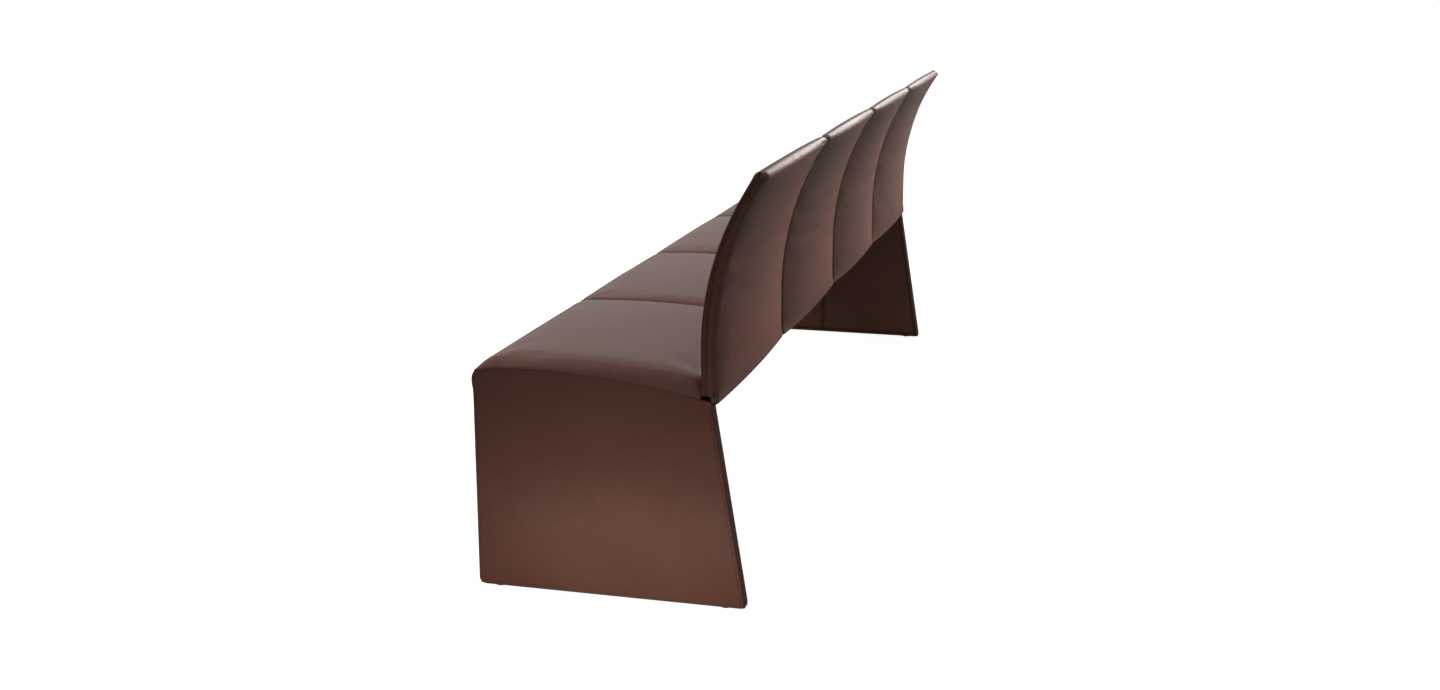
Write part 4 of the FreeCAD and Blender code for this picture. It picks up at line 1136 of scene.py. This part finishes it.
# Under the seat: the dust cover and the staples that hold it

dustCover = {"margin": 0.0115, "thick": 0.0004, "sag": 0.0035, "ripple": 0.0009, "columns": 233, "rows": 45,
             "stapleStep": 0.075, "stapleWide": 0.010, "wire": 0.0006, "leg": 0.0012}


def makeDustCover():
    cut = dustCover
    low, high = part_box("under_seat_cover")
    x, y = np.linspace(low.x, high.x, cut["columns"]), np.linspace(low.y, high.y, cut["rows"])
    across, along = np.meshgrid(x, y)
    inX = np.minimum(across - low.x, high.x - across)
    inY = np.minimum(along - low.y, high.y - along)
    edge = np.minimum(inX, inY)
    belly = smooth(0.02, 0.20, inY) * smooth(0.02, 0.30, inX)
    places = np.stack([across, along, np.zeros_like(across)], axis=-1).reshape(-1, 3)
    ripples = np.abs(wander(places * np.array([1.0, 0.35, 1.0]), 0.028, 31, 3)).reshape(across.shape)
    drop = cut["sag"] * belly + cut["ripple"] * ripples * smooth(0.010, 0.030, edge) * np.exp(-edge / 0.07)
    under = np.stack([across, along, low.z - drop], axis=-1)
    above = under + Vector((0, 0, cut["thick"]))
    piece = stuffed("dust_cover_cloth", under, above, hardMaterials["spunFleece"], flip=True)
    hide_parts("under_seat_cover")

    inset, wide, wire = cut["margin"], cut["stapleWide"] / 2, cut["wire"]
    places = []
    for line in (low.y + inset, high.y - inset):
        places += [(x0, line, 0) for x0 in np.arange(low.x + 0.05, high.x - 0.04, cut["stapleStep"])]
    for line in (low.x + inset, high.x - inset):
        places += [(line, y0, 1) for y0 in np.arange(low.y + 0.05, high.y - 0.04, cut["stapleStep"])]
    vertices, faces = [], []
    for x0, y0, turned in places:
        first = len(vertices)
        path = [(-wide, cut["leg"]), (-wide, 0.0001), (-wide + 0.0006, -0.0005), (wide - 0.0006, -0.0005),
                (wide, 0.0001), (wide, cut["leg"])]
        for k, (run, rise) in enumerate(path):
            for side, lift in ((-wire, -wire / 2), (wire, -wire / 2), (wire, wire / 2), (-wire, wire / 2)):
                flatRun = run + (lift if abs(rise) > 0.001 else 0)
                point = (side, flatRun) if turned else (flatRun, side)
                vertices.append((x0 + point[0], y0 + point[1], low.z + rise + lift))
            if k:
                base = len(vertices) - 8
                faces += [(base + i, base + (i + 1) % 4, base + 4 + (i + 1) % 4, base + 4 + i) for i in range(4)]
        last = len(vertices) - 4
        faces += [(first, first + 3, first + 2, first + 1), (last, last + 1, last + 2, last + 3)]
    staples = makePiece("dust_cover_staples", vertices, faces, hardMaterials["zincPlate"])


makeDustCover()
print("dust cover made")

if swelling:
    swellAll()
print("leather swelled")


# The photograph's camera

cameraPlace = {
    "place": (4.21094, 0.99298, 1.29451), "aim": (-0.93986, -0.24516, -0.23781), "lens": 42.404, "filmWidth": 36.0,
}


def makeCamera():
    camera = bpy.data.objects.new("camera", bpy.data.cameras.new("camera"))
    scene.collection.objects.link(camera)
    camera.location = cameraPlace["place"]
    camera.rotation_euler = Vector(cameraPlace["aim"]).to_track_quat("-Z", "Y").to_euler()
    camera.data.lens = cameraPlace["lens"]
    camera.data.sensor_width = cameraPlace["filmWidth"]
    camera.data.sensor_fit = "HORIZONTAL"
    scene.camera = camera


makeCamera()


# Floor, surroundings and lamps

stageLook = {
    "floorColour": (0.30, 0.30, 0.30, 1), "floorBounce": (0.05, 0.05, 0.05, 1), "floorSize": 60.0,
    "glowNear": 0.93, "glowFar": 0.98, "glowFrom": 1.6, "glowTo": 5.0,
    "skyForLight": 0.34, "skySeen": 1.0, "skyMirrored": 0.26, "floorMirrored": 0.08,
}
lamps = {
    "overhead": {"place": (0.1, -1.8, 3.1), "aim": (0.1, -0.1, 0.4), "size": (4.0, 2.0), "power": 130},
    "nearFoot": {"place": (1.53, 0.05, 0.03), "aim": (1.2, 0.06, 0.12), "size": (0.7, 0.15), "power": 2.8},
    "farFoot": {"place": (-0.45, 0.45, 0.04), "aim": (-1.16, 0.12, 0.2), "size": (0.6, 0.15), "power": 1.4},
    "farEnd": {"place": (-5.0, 0.75, 2.1), "aim": (0, 0.3, 0.75), "size": (1.4, 1.0), "power": 16,
               "mirrored": True},
    "farSide": {"place": (-6.0, 1.2, 1.2), "aim": (-1.2, 0, 0.3), "size": (1.5, 1.5), "power": 170},
    "rearSide": {"place": (-28.0, 3.45, 2.0), "aim": (0, 0.25, 0.6), "size": (5.2, 4.4), "power": 71300,
                 "lights": "back_rear_"},
}


def seenShare(tree, share):
    # 1 where the background is seen directly or through glass, and the given share where it is reflected
    rays = addNode(tree, "LightPath").outputs
    seen = calc(tree, "MAXIMUM", rays["Is Camera Ray"], ("MULTIPLY", rays["Is Glossy Ray"], share))
    return calc(tree, "MAXIMUM", seen, rays["Is Transmission Ray"])


def makeStage():
    look = stageLook
    material = bpy.data.materials.new("paleFloor")
    material.use_nodes = True
    tree = material.node_tree
    tree.nodes.clear()
    direct = addNode(tree, "LightPath").outputs["Is Camera Ray"]
    flat = inputsOf(tree, addNode(tree, "BsdfDiffuse"),
                    Color=mixColours(tree, direct, look["floorBounce"], look["floorColour"]))
    away = addNode(tree, "VectorMath", operation="LENGTH")
    feed(tree, away.inputs[0], addNode(tree, "NewGeometry").outputs["Position"])
    strength = spread(tree, away.outputs["Value"], look["glowFrom"], look["glowTo"],
                      look["glowNear"], look["glowFar"])
    strength = calc(tree, "MULTIPLY", seenShare(tree, look["floorMirrored"]), strength)
    both = addNode(tree, "AddShader")
    feed(tree, both.inputs[0], flat.outputs[0])
    feed(tree, both.inputs[1], inputsOf(tree, addNode(tree, "Emission"), Strength=strength).outputs[0])
    inputsOf(tree, addNode(tree, "OutputMaterial"), Surface=both.outputs[0])
    half = look["floorSize"] / 2
    mesh = bpy.data.meshes.new("floor")
    mesh.from_pydata([(-half, -half, 0), (half, -half, 0), (half, half, 0), (-half, half, 0)], [], [(0, 1, 2, 3)])
    mesh.materials.append(material)
    floor = bpy.data.objects.new("floor", mesh)
    scene.collection.objects.link(floor)


def makeSky():
    world = scene.world = bpy.data.worlds.new("sky")
    world.use_nodes = True
    tree = world.node_tree
    blend = inputsOf(tree, addNode(tree, "MapRange"), Value=seenShare(tree, stageLook["skyMirrored"]),
                     To_Min=stageLook["skyForLight"], To_Max=stageLook["skySeen"])
    inputsOf(tree, tree.nodes["Background"], Color=(1, 1, 1, 1), Strength=blend.outputs["Result"])


def makeLamps():
    for name, look in lamps.items():
        lamp = bpy.data.lights.new(name, "AREA")
        lamp.shape = "RECTANGLE"
        lamp.size, lamp.size_y = look["size"]
        lamp.energy = look["power"]
        holder = bpy.data.objects.new(name, lamp)
        scene.collection.objects.link(holder)
        holder.location = look["place"]
        holder.visible_glossy = look.get("mirrored", False)
        holder.rotation_euler = (Vector(look["aim"]) - Vector(look["place"])).to_track_quat("-Z", "Y").to_euler()
        if "lights" in look:
            # the lamp grazes these pieces, and would be far too strong on whatever faces it
            reached = bpy.data.collections.new(name)
            for piece in scene.objects:
                if piece.name.startswith(look["lights"]):
                    reached.objects.link(piece)
            holder.light_linking.receiver_collection = reached


makeStage()
makeSky()
makeLamps()
print("stage made")
